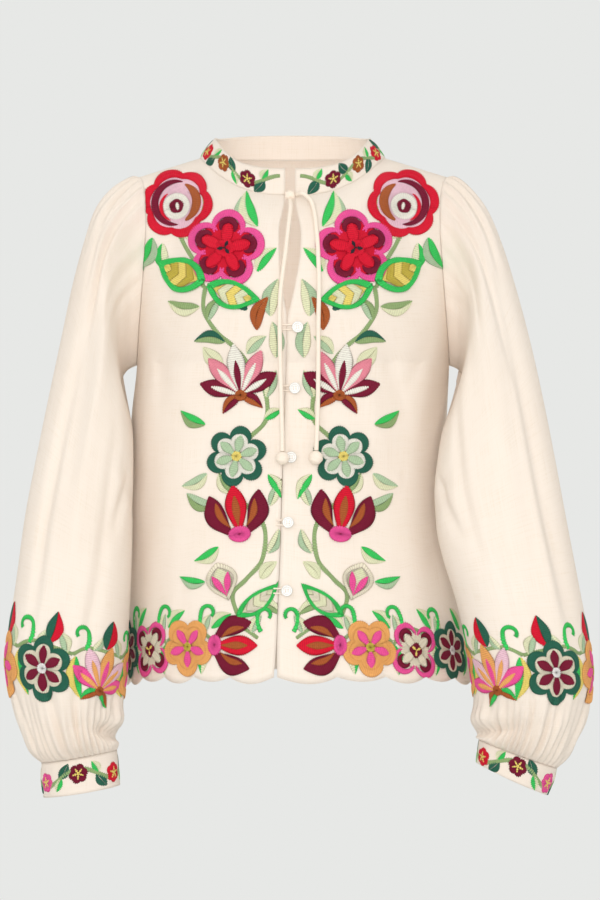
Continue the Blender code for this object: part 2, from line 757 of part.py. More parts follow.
def make_bead(side, end, direction, collection, root):
    """A round knob below the end of a tie."""
    name = "tie_bead_right" if side == RIGHT else "tie_bead_left"
    radius = BEAD_RADIUS[side]
    bm = bmesh.new()
    bmesh.ops.create_uvsphere(bm, u_segments=12, v_segments=8, radius=radius)
    mesh = bpy.data.meshes.new(name)
    bm.to_mesh(mesh)
    bm.free()
    mesh.shade_smooth()
    obj = add_object(name, mesh, CORD, collection, root)
    obj.location = end + direction * (radius + PIECE_GAP)
    obj.rotation_euler = direction.to_track_quat("Z", "Y").to_euler()


def make_tie(find, collection, root):
    """The knot sits between the collar's ends, and each free end leaves from it."""
    depth = neckline_point(0).y - KNOT_SIZE[1] + KNOT_SINK
    centre = Vector((KNOT_X, depth, KNOT_Z))
    bm = bmesh.new()
    made = bmesh.ops.create_uvsphere(bm, u_segments=12, v_segments=8, radius=1.0)
    bmesh.ops.scale(bm, verts=made["verts"], vec=KNOT_SIZE)
    mesh = bpy.data.meshes.new("tie_knot")
    bm.to_mesh(mesh)
    bm.free()
    mesh.shade_smooth()
    add_object("tie_knot", mesh, CORD, collection, root).location = centre
    for side, name in ((RIGHT, "tie_end_right"), (LEFT, "tie_end_left")):
        corners = [centre + Vector(KNOT_EXIT[side])]
        for stop in TIE_ROUTES[side]:
            y = tie_depth(find, min(stop.z, TIE_TOP_Z)) - stop.height
            corners.append(Vector((stop.x, y, stop.z)))
        points = smooth_route(corners, TIE_STEP)
        add_tube(name, points, TIE_RADIUS, 2, CORD, collection, root)
        make_bead(side, points[-1], (points[-1] - points[-2]).normalized(), collection, root)


def main():
    clear_scene()
    collection = bpy.data.collections.new("blouse")
    cutters = bpy.data.collections.new("cutters")
    for group in (collection, cutters):
        bpy.context.scene.collection.children.link(group)
    root = bpy.data.objects.new("blouse_origin", None)
    collection.objects.link(root)
    fronts = make_fronts(collection, root)
    make_back(collection, root)
    make_sleeves(collection, root)
    make_cuffs(collection, root)
    make_collar(collection, root)
    find = front_finder(fronts)
    make_buttons(find, collection, cutters, root)
    make_loops(find, collection, root)
    make_tie(find, collection, root)


main()
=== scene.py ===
# Long-sleeve blouse: cream cotton, stitched flowers, shell buttons, loops and a neck tie.
# In metres: the front faces -Y, and the wearer's right is at -X. Stitched motifs, and the
# tables that say so, are in millimetres.
import json
from collections import namedtuple
from math import atan2, cos, degrees, exp, pi, radians, sin, sqrt

import bmesh
import bpy
from mathutils import Vector
from mathutils.bvhtree import BVHTree
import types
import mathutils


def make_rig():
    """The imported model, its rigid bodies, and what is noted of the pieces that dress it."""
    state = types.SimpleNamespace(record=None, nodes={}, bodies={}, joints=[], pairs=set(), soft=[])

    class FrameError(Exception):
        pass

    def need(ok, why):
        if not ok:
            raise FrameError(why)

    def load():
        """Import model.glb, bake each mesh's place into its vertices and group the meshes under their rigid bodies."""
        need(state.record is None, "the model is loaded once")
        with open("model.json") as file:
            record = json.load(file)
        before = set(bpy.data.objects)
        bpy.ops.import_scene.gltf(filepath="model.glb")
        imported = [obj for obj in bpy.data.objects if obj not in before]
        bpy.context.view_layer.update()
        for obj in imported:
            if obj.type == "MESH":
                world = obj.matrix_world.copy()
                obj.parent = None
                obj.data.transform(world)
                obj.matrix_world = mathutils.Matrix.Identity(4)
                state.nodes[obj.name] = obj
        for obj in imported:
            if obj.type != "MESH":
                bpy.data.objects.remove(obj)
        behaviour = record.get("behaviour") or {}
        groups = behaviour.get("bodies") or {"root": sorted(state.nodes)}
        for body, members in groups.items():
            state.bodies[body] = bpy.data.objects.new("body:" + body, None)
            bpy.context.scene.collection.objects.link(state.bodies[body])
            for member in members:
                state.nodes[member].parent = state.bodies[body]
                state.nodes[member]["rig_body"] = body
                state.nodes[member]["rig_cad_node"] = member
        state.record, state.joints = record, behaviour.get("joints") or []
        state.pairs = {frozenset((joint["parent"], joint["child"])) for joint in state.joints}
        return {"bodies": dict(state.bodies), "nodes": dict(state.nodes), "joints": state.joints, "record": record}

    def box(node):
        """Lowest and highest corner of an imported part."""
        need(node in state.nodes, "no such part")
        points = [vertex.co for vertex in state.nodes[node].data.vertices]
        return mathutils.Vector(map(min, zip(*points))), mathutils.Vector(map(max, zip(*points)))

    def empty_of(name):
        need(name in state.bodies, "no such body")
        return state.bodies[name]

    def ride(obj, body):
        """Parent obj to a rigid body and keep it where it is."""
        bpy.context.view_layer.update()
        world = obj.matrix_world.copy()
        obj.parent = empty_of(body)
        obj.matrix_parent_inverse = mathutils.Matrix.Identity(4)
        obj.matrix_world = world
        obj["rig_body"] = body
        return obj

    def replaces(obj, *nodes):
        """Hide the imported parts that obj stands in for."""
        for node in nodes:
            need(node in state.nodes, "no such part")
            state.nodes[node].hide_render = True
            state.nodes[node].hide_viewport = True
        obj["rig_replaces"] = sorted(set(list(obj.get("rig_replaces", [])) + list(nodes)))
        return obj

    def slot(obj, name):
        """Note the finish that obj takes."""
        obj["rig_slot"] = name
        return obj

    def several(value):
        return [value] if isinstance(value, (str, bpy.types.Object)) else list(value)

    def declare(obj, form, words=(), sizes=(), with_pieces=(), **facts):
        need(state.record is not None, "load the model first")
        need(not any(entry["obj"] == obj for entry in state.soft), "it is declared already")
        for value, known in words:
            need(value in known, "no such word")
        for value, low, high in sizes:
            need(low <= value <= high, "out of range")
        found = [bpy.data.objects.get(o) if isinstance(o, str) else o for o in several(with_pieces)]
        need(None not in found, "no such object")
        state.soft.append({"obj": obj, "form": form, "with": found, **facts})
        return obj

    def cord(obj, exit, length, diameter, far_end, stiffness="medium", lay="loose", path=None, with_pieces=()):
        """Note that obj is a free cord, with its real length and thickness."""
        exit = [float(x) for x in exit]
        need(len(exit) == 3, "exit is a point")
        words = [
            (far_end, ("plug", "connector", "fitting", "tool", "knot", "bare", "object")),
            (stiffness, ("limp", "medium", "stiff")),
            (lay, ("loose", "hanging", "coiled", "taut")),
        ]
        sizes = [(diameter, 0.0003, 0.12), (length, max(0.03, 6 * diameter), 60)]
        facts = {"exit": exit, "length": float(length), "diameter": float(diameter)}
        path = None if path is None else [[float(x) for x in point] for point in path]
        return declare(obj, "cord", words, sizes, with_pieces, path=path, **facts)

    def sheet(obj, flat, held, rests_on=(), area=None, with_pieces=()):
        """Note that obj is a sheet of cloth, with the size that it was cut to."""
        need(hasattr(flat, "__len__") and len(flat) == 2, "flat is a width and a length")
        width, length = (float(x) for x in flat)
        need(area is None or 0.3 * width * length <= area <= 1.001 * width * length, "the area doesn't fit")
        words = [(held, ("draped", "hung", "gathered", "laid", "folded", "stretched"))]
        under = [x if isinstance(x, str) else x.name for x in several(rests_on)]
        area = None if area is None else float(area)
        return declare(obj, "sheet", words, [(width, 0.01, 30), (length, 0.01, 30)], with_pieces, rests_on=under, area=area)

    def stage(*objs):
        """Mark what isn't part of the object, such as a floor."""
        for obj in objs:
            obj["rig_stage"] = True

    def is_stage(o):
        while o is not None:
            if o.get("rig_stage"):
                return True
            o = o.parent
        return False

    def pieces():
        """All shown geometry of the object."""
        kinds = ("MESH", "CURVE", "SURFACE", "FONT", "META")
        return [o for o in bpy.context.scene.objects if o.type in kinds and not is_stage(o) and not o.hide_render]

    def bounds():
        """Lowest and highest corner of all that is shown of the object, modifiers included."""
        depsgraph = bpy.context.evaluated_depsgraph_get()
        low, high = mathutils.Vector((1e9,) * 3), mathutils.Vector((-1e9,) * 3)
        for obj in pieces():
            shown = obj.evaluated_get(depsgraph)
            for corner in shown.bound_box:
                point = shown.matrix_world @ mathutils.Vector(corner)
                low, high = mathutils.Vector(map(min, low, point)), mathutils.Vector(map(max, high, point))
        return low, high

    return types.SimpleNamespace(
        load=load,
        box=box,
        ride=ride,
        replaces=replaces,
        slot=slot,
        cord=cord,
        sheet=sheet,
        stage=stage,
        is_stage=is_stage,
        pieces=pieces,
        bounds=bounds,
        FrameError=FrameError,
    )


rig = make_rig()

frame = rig.load()
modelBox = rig.bounds()
scene = bpy.context.scene
right, left = -1, 1
front, back = -1, 1
print("frame loaded")


# Camera, light and floor

studio = {
    "cameraPlace": (0.0072, -4.0, -0.2936),
    "lens": 153.0,
    "backgroundColour": (231, 232, 230),
    "floorHeight": -1.10,
    "floorSize": 1.6,
    "aim": (0.0, 0.0, -0.30),
    "insideAim": (0.0, 0.12, -0.02),
    # name, place, power, size and what it points at
    "lights": [
        ("keyLight", (-1.5, -2.3, 1.2), 9.0, 1.1, "aim"),
        ("fillLight", (1.9, -2.2, 0.2), 4.5, 1.6, "aim"),
        ("frontLight", (-0.1, -4.6, 0.1), 77.0, 1.8, "aim"),
        ("insideLight", (0.0, -0.045, -0.16), 0.15, 0.14, "insideAim"),
    ],
}


def linear(colour):
    # screen colour, 0 to 255, to the shader's own scale
    parts = []
    for part in colour:
        share = part / 255
        parts.append(share / 12.92 if share <= 0.04045 else ((share + 0.055) / 1.055) ** 2.4)
    return (*parts, 1.0)


cameraData = bpy.data.cameras.new("camera")
cameraData.lens = studio["lens"]
camera = bpy.data.objects.new("camera", cameraData)
camera.location = studio["cameraPlace"]
camera.rotation_euler = (pi / 2, 0, 0)
scene.collection.objects.link(camera)
scene.camera = camera
scene.view_settings.view_transform = "Standard"

for name, place, watts, size, aim in studio["lights"]:
    light = bpy.data.lights.new(name, "AREA")
    light.energy = watts
    light.size = size
    lamp = bpy.data.objects.new(name, light)
    lamp.location = place
    lamp.rotation_euler = (Vector(studio[aim]) - Vector(place)).to_track_quat("-Z", "Y").to_euler()
    scene.collection.objects.link(lamp)


# Shader helpers

class Wire:
    # a socket's output; sums and products of wires add their Math nodes
    def __init__(self, finish, socket):
        self.finish = finish
        self.socket = socket

    def math(self, operation, *inputs):
        return self.finish.node("ShaderNodeMath", dict(enumerate(inputs)), operation=operation)

    def __add__(self, other):
        return self.math("ADD", self, other)

    def __sub__(self, other):
        return self.math("SUBTRACT", self, other)

    def __mul__(self, other):
        return self.math("MULTIPLY", self, other)

    def __rsub__(self, other):
        return self.math("SUBTRACT", other, self)

    def __pow__(self, other):
        return self.math("POWER", self, other)

    __radd__ = __add__

    def sine(self):
        return self.math("SINE", self)

    def absolute(self):
        return self.math("ABSOLUTE", self)


class Finish:
    def __init__(self, name, colour, roughness):
        self.material = bpy.data.materials.new(name)
        self.material.use_nodes = True
        self.material.diffuse_color = linear(colour)
        self.nodes = self.material.node_tree.nodes
        self.shader = self.nodes["Principled BSDF"]
        self.set("Base Color", linear(colour))
        self.set("Roughness", roughness)

    def node(self, kind, inputs, output=0, **settings):
        made = self.nodes.new(kind)
        for name, value in settings.items():
            setattr(made, name, value)
        for name, value in inputs.items():
            self.feed(made.inputs[name], value)
        return Wire(self, made.outputs[output])

    def feed(self, socket, value):
        if isinstance(value, Wire):
            self.material.node_tree.links.new(value.socket, socket)
        else:
            socket.default_value = value

    def set(self, socket, value):
        self.feed(self.shader.inputs[socket], value)

    def blend(self, factor, first, second, **settings):
        inputs = {0: factor, 6: first, 7: second}
        settings.update(data_type="RGBA", clamp_factor=True)
        return self.node("ShaderNodeMix", inputs, 2, **settings)

    def bump(self, height, distance, strength=1.0, under=None):
        inputs = {"Height": height, "Distance": distance, "Strength": strength}
        if under:
            inputs["Normal"] = under
        return self.node("ShaderNodeBump", inputs)

    def split(self, vector, axis):
        return self.node("ShaderNodeSeparateXYZ", {0: vector}, axis)

    def noise(self, vector, scale, detail=2.0):
        inputs = {"Vector": vector, "Scale": scale, "Detail": detail}
        return self.node("ShaderNodeTexNoise", inputs)

    def stretched(self, vector, scale):
        return self.node("ShaderNodeMapping", {"Vector": vector, "Scale": scale})

    def objectPlace(self):
        return self.node("ShaderNodeTexCoord", {}, "Object")

    def ownMap(self):
        return self.node("ShaderNodeTexCoord", {}, "UV")

    def attribute(self, name, output):
        return self.node("ShaderNodeAttribute", {}, output, attribute_name=name)


# Finishes

cotton = {
    "colour": (249, 236, 223),
    "shade": (244, 227, 211),
    "slubColour": (238, 221, 201),
    "threadPitch": 0.00055,
    "slubAcross": (28.0, 900.0, 1.0),
    "slubAlong": (900.0, 28.0, 1.0),
    "slubBlend": 2.75,
    "cloudScale": 9.0,
    "cloudBlend": (1.1, 0.25),
    "crumple": {"scale": 34.0, "distance": 0.0026, "strength": 0.35},
    "weave": {"distance": 0.0006, "strength": 0.55},
}


def cottonFinish(name, weave=1.0):
    finish = Finish(name, cotton["colour"], 0.92)
    finish.set("Sheen Weight", 0.12)
    finish.set("Sheen Roughness", 0.5)
    finish.set("Specular IOR Level", 0.2)
    spread = finish.ownMap()
    across = finish.split(spread, "X")
    along = finish.split(spread, "Y")
    turns = 2 * pi / cotton["threadPitch"]
    threads = (across * turns).sine() * (along * turns).sine()
    slubAcross = finish.noise(finish.stretched(spread, cotton["slubAcross"]), 1.0)
    slubAlong = finish.noise(finish.stretched(spread, cotton["slubAlong"]), 1.0)
    slubs = (slubAcross + slubAlong) * 0.5
    cloudy = finish.noise(finish.objectPlace(), cotton["cloudScale"], 3.0)
    gain, start = cotton["cloudBlend"]
    shaded = (cloudy - 0.5) * gain + start
    colour = finish.blend(shaded, linear(cotton["colour"]), linear(cotton["shade"]))
    flecks = (slubs - 0.5) * cotton["slubBlend"]
    finish.set("Base Color", finish.blend(flecks, colour, linear(cotton["slubColour"])))
    finish.set("Roughness", 0.86 + slubs * 0.12)
    crumple, fine = cotton["crumple"], cotton["weave"]
    wrinkled = finish.noise(finish.objectPlace(), crumple["scale"], 4.0)
    under = finish.bump(wrinkled, crumple["distance"], crumple["strength"])
    woven = threads * 0.35 + slubs
    finish.set("Normal", finish.bump(woven, fine["distance"] * weave, fine["strength"], under))
    return finish.material


thread = {
    "bundle": 0.0024,
    "strand": 0.0006,
    # painted shade: the tint multiplied into the thread's own colour in the grooves between stitch bundles and at the
    # band edges
    "valley": (0.50, 0.42, 0.44, 1.0),
    "wanderScale": 420.0,
    "wander": 1.6,
    "strandWander": 5.0,
    # how strongly shade is painted into the grooves and at the band edges, and how tightly the painted edge shade
    # keeps to the edges
    "valleyShade": 0.46,
    "edgeShade": 0.34,
    "edgePower": 5.0,
    "bump": (0.0007, 0.85),
}


def threadFinish():
    finish = Finish("stitchThread", (200, 60, 80), 0.5)
    finish.set("Specular IOR Level", 0.16)
    run = finish.attribute("run", "Fac")
    lay = finish.attribute("lay", "Fac")
    wander = finish.noise(finish.objectPlace(), thread["wanderScale"])
    turns = run * (2 * pi / thread["bundle"])
    strand = (turns + (wander - 0.5) * thread["wander"]).sine() * 0.5 + 0.5
    turns = run * (2 * pi / thread["strand"])
    fine = (turns + wander * thread["strandWander"]).sine() * 0.5 + 0.5
    dyed = finish.attribute("thread", "Color")
    # painted shade: the thread's colour is darkened where the strand pattern dips between bundles and towards each
    # band's edges, as if those grooves lay in shadow; the wander noise adds random tone on top
    paintedShadeColour = finish.blend(1.0, dyed, thread["valley"], blend_type="MULTIPLY")
    edge = ((lay - 0.5).absolute() * 2.0) ** thread["edgePower"]
    paintedShade = (1.0 - strand) * thread["valleyShade"] + edge * thread["edgeShade"]
    finish.set("Base Color", finish.blend(paintedShade + (wander - 0.5) * 0.5, dyed, paintedShadeColour))
    finish.set("Roughness", 0.42 + wander * 0.25)
    finish.set("Normal", finish.bump(strand + fine * 0.35, *thread["bump"]))
    return finish.material


def tieFinish():
    finish = Finish("tieCotton", (250, 236, 220), 0.9)
    finish.set("Sheen Weight", 0.15)
    grain = finish.noise(finish.objectPlace(), 900.0, 3.0)
    finish.set("Base Color", finish.blend(grain, linear((245, 233, 219)), linear((232, 214, 195))))
    finish.set("Normal", finish.bump(grain, 0.0005, 0.6))
    return finish.material


def shellFinish():
    finish = Finish("buttonShell", (246, 244, 240), 0.25)
    finish.set("Coat Weight", 0.25)
    finish.set("Coat Roughness", 0.1)
    cloud = finish.noise(finish.objectPlace(), 160.0, 3.0)
    finish.set("Base Color", finish.blend(cloud, linear((226, 224, 220)), linear((206, 201, 194))))
    finish.set("Roughness", 0.18 + cloud * 0.18)
    return finish.material


clothCotton = cottonFinish("creamCotton")
bandCotton = cottonFinish("bandCotton", 1.2)
stitchThread = threadFinish()
tieCotton = tieFinish()
buttonShell = shellFinish()
print("finishes made")


# Tables, and smooth steps through their rows

millimetre = 1000


def through(before, start, end, after, share):
    rise = (end - before) / 2
    leave = (after - start) / 2
    across = end - start
    bend = 3 * across - 2 * rise - leave
    twist = rise + leave - 2 * across
    return start + share * (rise + share * (bend + share * twist))


def fourAround(rows, index):
    return [rows[min(max(index + step, 0), len(rows) - 1)] for step in (-1, 0, 1, 2)]


def between(rows, place):
    # the row at a place that may lie between two rows
    place = min(max(place, 0.0), len(rows) - 1.0)
    index = min(int(place), len(rows) - 2)
    values = [through(*four, place - index) for four in zip(*fourAround(rows, index))]
    return type(rows[0])(*values) if hasattr(rows[0], "_fields") else Vector(values)


def atHeight(rows, z):
    if z >= rows[0].z:
        return rows[0]
    for index in range(len(rows) - 1):
        upper, lower = rows[index].z, rows[index + 1].z
        if z >= lower:
            return between(rows, index + (upper - z) / (upper - lower))
    return rows[-1]


def table(kind, rows, unit=1):
    # rows of plain numbers, given names and divided by their unit
    return [kind(*(value / unit for value in row)) for row in rows]


def power(value, exponent):
    return max(value, 0.0) ** exponent


def smooth(share):
    share = min(max(share, 0.0), 1.0)
    return share * share * (3 - 2 * share)


def finishPiece(obj, *nodes):
    # every piece is carried by the one body, and stands for its node
    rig.ride(obj, "root")
    if nodes:
        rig.replaces(obj, *nodes)
    return obj


# Neck tie: routes first, as the camera has to see them whole

Place = namedtuple("Place", "x y z")
tie = {
    "radius": 0.00225,
    "fineSteps": 4,
    "knotPlace": (-0.0030, -0.0742, -0.0316),
    "knotSize": (0.0056, 0.0040, 0.0045),
    "knotRelief": (0.90, 0.14),
    "beadRadius": {right: 0.0067, left: 0.0071},
    "beadWraps": (9, 2),
    "beadRelief": 0.035,
    "beadPlace": {right: (-0.01063, -0.13787, -0.30194), left: (0.02329, -0.13380, -0.30135)},
    "route": {
        right: table(Place, [
            (-2.8, -76.8, -37.4), (-2.4, -85.76, -43.56), (-3.1, -92.46, -52.08),
            (-5.17, -103.53, -70.72), (-7.26, -112.12, -90.64), (-9.94, -118.9, -111.16),
            (-12.41, -123.53, -132.31), (-13.48, -126.38, -153.87), (-13.28, -127.43, -175.64),
            (-12.85, -128.31, -197.41), (-12.34, -129.13, -219.18), (-11.78, -130.24, -240.94),
            (-11.18, -132.64, -262.59), (-10.8, -135.47, -284.2), (-10.7, -136.93, -295),
        ], millimetre),
        left: table(Place, [
            (4.4, -75.8, -31.6), (9.86, -85.15, -30.75), (17.89, -83.25, -37.65),
            (21.1, -88.05, -46.92), (22.67, -94.52, -55.82), (24.52, -104.92, -75.37),
            (25.69, -113.76, -95.73), (26.47, -120.24, -116.97), (26.39, -124.58, -138.77),
            (25.8, -126.46, -160.91), (25.71, -126.81, -183.14), (25.69, -126.77, -205.38),
            (25.59, -127, -227.61), (25.19, -128.44, -249.79), (24.5, -130.61, -271.91),
            (23.6, -132.99, -294),
        ], millimetre),
    },
}
sideWord = {right: "right", left: "left"}


def pathLength(points):
    return sum((end - start).length for start, end in zip(points, points[1:]))


def addTube(name, points, radius, material, steps=4):
    curve = bpy.data.curves.new(name, "CURVE")
    curve.dimensions = "3D"
    curve.bevel_depth = radius
    curve.bevel_resolution = steps
    curve.use_fill_caps = True
    spline = curve.splines.new("POLY")
    spline.points.add(len(points) - 1)
    for target, point in zip(spline.points, points):
        target.co = (*point, 1.0)
    spline.use_smooth = True
    curve.materials.append(material)
    obj = bpy.data.objects.new(name, curve)
    scene.collection.objects.link(obj)
    return obj


def meshPiece(name, bm, material, flat=False):
    # a scene object from a mesh being built
    mesh = bpy.data.meshes.new(name)
    bm.to_mesh(mesh)
    bm.free()
    if not flat:
        mesh.shade_smooth()
    mesh.materials.append(material)
    obj = bpy.data.objects.new(name, mesh)
    scene.collection.objects.link(obj)
    return obj


def makeBead(side):
    # a ball knot: a sphere wrapped by shallow turns of cord
    radius = tie["beadRadius"][side]
    up, about = tie["beadWraps"]
    bm = bmesh.new()
    bmesh.ops.create_uvsphere(bm, u_segments=40, v_segments=28, radius=radius)
    for vert in bm.verts:
        turn = atan2(vert.co.y, vert.co.x)
        height = vert.co.z / radius
        wrap = sin(up * height + about * turn) * sqrt(max(1 - height * height, 0.0))
        vert.co *= 1 + tie["beadRelief"] * wrap
    end = Vector(tie["route"][side][-1])
    direction = (Vector(tie["beadPlace"][side]) - end).normalized()
    spin = direction.to_track_quat("Z", "Y").to_matrix()
    bmesh.ops.rotate(bm, verts=bm.verts, cent=(0, 0, 0), matrix=spin)
    bmesh.ops.translate(bm, verts=bm.verts, vec=Vector(tie["beadPlace"][side]))
    name = f"tie_bead_{sideWord[side]}"
    return finishPiece(meshPiece(f"ball_{sideWord[side]}", bm, tieCotton), name)


for side in (right, left):
    corners = [Vector(point) for point in tie["route"][side]]
    fine = tie["fineSteps"]
    points = [between(corners, step / fine) for step in range(fine * (len(corners) - 1) + 1)]
    cord = addTube(f"tie_{sideWord[side]}", points, tie["radius"], tieCotton, 6)
    finishPiece(cord, f"tie_end_{sideWord[side]}")
    bead = makeBead(side)
    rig.cord(
        cord,
        exit=tuple(round(value, 4) for value in tie["route"][side][0]),
        length=round(pathLength(points), 4),
        diameter=2 * tie["radius"],
        far_end="knot",
        stiffness="limp",
        lay="hanging",
        with_pieces=[bead],
    )
    print("tie", sideWord[side], round(pathLength(points), 4))


def makeKnot():
    # an overhand knot: a tight ball of three crossing turns
    inner, relief = tie["knotRelief"]
    bm = bmesh.new()
    bmesh.ops.create_uvsphere(bm, u_segments=48, v_segments=32, radius=1.0)
    for vert in bm.verts:
        x, y, z = vert.co
        wrap = abs(sin(4.2 * (x * 0.75 + z * 0.65) + 0.9 * y))
        vert.co *= inner + relief * wrap
    bmesh.ops.scale(bm, verts=bm.verts, vec=tie["knotSize"])
    bmesh.ops.translate(bm, verts=bm.verts, vec=tie["knotPlace"])
    return finishPiece(meshPiece("knot", bm, tieCotton), "tie_knot")


makeKnot()
print("tie made")


# Cut of the body: shoulder seam, neckline, armhole and hem

cut = {
    "wall": 0.0009,
    "bandWall": 0.0014,
    "shoulderY": 0.008,
    "tipX": 0.162,
    "tipZ": -0.008,
    "neckX": 0.096,
    "neckZ": 0.012,
    "neckReach": {front: 0.080, back: 0.060},
    "neckCentreZ": {front: -0.032, back: 0.014},
    "neckCurve": 2.4,
    "underarmZ": -0.205,
    "armholeAngle": {front: radians(17), back: radians(20)},
    "chestLift": 0.080,
    "chestSwell": {front: 0.010, back: 0.004},
    "shoulderRoll": {front: 0.045, back: 0.050},
    "neckRoll": {front: (0.030, 0.026), back: (0.030, 0.012)},
    "sectionPower": 2.2,
    "bodyColumns": 18,
    "neckColumns": 10,
    "lowerRows": 7,
    "armholeRows": 10,
    "hemZ": -0.523,
    "hemFall": 0.013,
    "scallops": 6,
    "scallopDrops": (0.007, 0.005),
    "relaxPasses": 60,
    "relaxLeast": 0.02,
    "relaxWidth": 0.16,
    "relaxRows": (3, 1.4),
    "slitLeast": 0.0003,
    "columnSteps": 5,
    "lowerSteps": 6,
    "upperSteps": 4,
    "frontSpread": (0.25, 0.54),
    "backSpread": (0.48, 0.56),
}
Section = namedtuple("Section", "z halfWidth frontDepth backDepth centreX")
bodySections = table(Section, [
    (-205, 163, 122, 106, 0),
    (-250, 164.5, 124, 107, -3.5),
    (-300, 165.5, 126, 108, -6.5),
    (-360, 168, 129, 112, -6),
    (-430, 174, 133, 118, 0),
    (-490, 179.5, 137, 124, 5.5),
    (-560, 183.5, 142, 130, 10.5),
], millimetre)
Slit = namedtuple("Slit", "z centreX halfGap")
frontSlit = table(Slit, [
    (-30, -3, 5.2), (-44, -3.2, 6.2), (-66, -3.2, 10.8),
    (-90, -3, 10.6), (-115, -4, 8), (-140, -5, 4.2),
    (-160, -6, 0.3), (-250, -8.5, 0.3), (-400, -13, 0.3),
    (-480, -16, 0.3), (-545, -18, 2.2),
], millimetre)
# long soft troughs that the solids have too
Trough = namedtuple("Trough", "x topZ lowZ depth halfWidth")
bodyTroughs = {
    front: table(Trough, [
        (106, -150, -320, 3.5, 18), (-130, -160, -300, 3, 20),
        (75, -380, -560, 3, 20), (-85, -400, -560, 3, 22),
    ], millimetre),
    back: table(Trough, [
        (0, -60, -330, 3, 22), (85, -230, -560, 5, 24),
        (-80, -260, -560, 5, 22),
    ], millimetre),
}
# smaller creases, slanting, each in its own size; a negative depth is a ridge
Crease = namedtuple("Crease", "topX lowX topZ lowZ depth halfWidth")
bodyCreases = {
    front: table(Crease, [
        (95, 116, -165, -275, 2.6, 7.5), (80, 98, -205, -330, -1.4, 9),
        (146, 120, -150, -235, 3.4, 7), (152, 138, -185, -300, 2.8, 8),
        (142, 150, -300, -480, 2.2, 9.5), (118, 126, -330, -470, -1.3, 10),
        (-124, -134, -150, -265, 2.4, 8), (-150, -128, -155, -240, 3, 7),
        (-146, -152, -270, -460, 2.4, 9.5), (-110, -118, -320, -450, -1.2, 11),
        (-108, -100, -400, -520, 1.6, 8), (20, 30, -330, -480, 1, 10),
        (-30, -36, -250, -420, 1, 11),
    ], millimetre),
    back: table(Crease, [
        (50, 30, -70, -200, 2.4, 12), (-55, -40, -60, -185, 2.2, 13),
        (125, 90, -120, -240, 3.6, 10), (-128, -98, -130, -255, 3.4, 10),
        (132, 142, -250, -480, 3, 12), (-130, -146, -270, -500, 3, 11),
        (30, 40, -300, -540, 2.6, 12), (-28, -34, -340, -540, 2.4, 13),
    ], millimetre),
}
neckAngle = pi / 2 * (1 - cut["neckColumns"] / cut["bodyColumns"])
neckAcross = cut["neckColumns"] / cut["bodyColumns"]
topRow = cut["lowerRows"] + cut["armholeRows"]


def sectionPoint(section, side, face, angle):
    depth = section.frontDepth if face == front else section.backDepth
    exponent = 2 / cut["sectionPower"]
    x = section.centreX + side * section.halfWidth * power(cos(angle), exponent)
    y = face * depth * power(sin(angle), exponent)
    return Vector((x, y, section.z))


def topPoint(side, face, angle):
    if angle <= neckAngle:
        share = (1 - cos(angle)) / (1 - cos(neckAngle))
        x = cut["tipX"] + (cut["neckX"] - cut["tipX"]) * share
        z = cut["tipZ"] + (cut["neckZ"] - cut["tipZ"]) * share
        return Vector((side * x, cut["shoulderY"], z))
    turn = pi / 2 * (angle - neckAngle) / (pi / 2 - neckAngle)
    x = cut["neckX"] * cos(turn)
    y = cut["shoulderY"] + face * cut["neckReach"][face] * sin(turn)
    drop = cut["neckCentreZ"][face] - cut["neckZ"]
    z = cut["neckCentreZ"][face] - drop * power(cos(turn), cut["neckCurve"])
    return Vector((side * x, y, z))


def upperPoint(side, face, angle, share):
    start = sectionPoint(bodySections[0], side, face, angle)
    end = topPoint(side, face, angle)
    centred = power(sin(angle), 2)
    neckOut, neckDown = cut["neckRoll"][face]
    roll = cut["shoulderRoll"][face] + (neckOut - cut["shoulderRoll"][face]) * centred
    swell = face * cut["chestSwell"][face] * centred
    first = start + Vector((0, swell, cut["chestLift"]))
    second = end + Vector((0, face * roll, -neckDown * centred))
    rest = 1 - share
    return (
        start * rest**3
        + first * 3 * rest**2 * share
        + second * 3 * rest * share**2
        + end * share**3
    )


def armholeShare(row):
    return (1 - cos(pi * row / cut["armholeRows"])) / 2


def armholeAngle(face, share):
    return cut["armholeAngle"][face] * sqrt(max(sin(pi * share), 0.0))


def hemHeight(across):
    lobe = across * cut["scallops"]
    drop = cut["scallopDrops"][int(lobe) % len(cut["scallopDrops"])]
    inside = 2 * (lobe - int(lobe)) - 1
    return cut["hemZ"] - cut["hemFall"] * across**3 - drop * (1 - inside * inside)


def creaseDepth(face, point):
    depth = 0.0
    for trough in bodyTroughs[face]:
        if trough.lowZ < point.z < trough.topZ:
            along = (trough.topZ - point.z) / (trough.topZ - trough.lowZ)
            offset = (point.x - trough.x) / trough.halfWidth
            fade = sin(pi * min(along, 0.75))
            depth += trough.depth * fade * exp(-offset * offset)
    for crease in bodyCreases[face]:
        if crease.lowZ < point.z < crease.topZ:
            along = (crease.topZ - point.z) / (crease.topZ - crease.lowZ)
            line = crease.topX + (crease.lowX - crease.topX) * along
            line += crease.halfWidth * 0.35 * sin(5 * along + 40 * crease.topX)
            offset = (point.x - line) / crease.halfWidth
            fade = power(sin(pi * along), 0.8)
            depth += crease.depth * fade * exp(-offset * offset)
    return depth


def bodyPoint(side, face, across, row):
    # across runs from the centre, 0, to the side seam or armhole, 1
    if row <= cut["lowerRows"]:
        rise = row / cut["lowerRows"]
        z = hemHeight(across) * (1 - rise) + cut["underarmZ"] * rise
        section = atHeight(bodySections, z)._replace(z=z)
        point = sectionPoint(section, side, face, pi / 2 * (1 - across))
    else:
        share = armholeShare(row - cut["lowerRows"])
        edge = armholeAngle(face, share)
        angle = edge + (pi / 2 - edge) * (1 - across)
        point = upperPoint(side, face, angle, share)
    point.y -= face * creaseDepth(face, point)
    return point


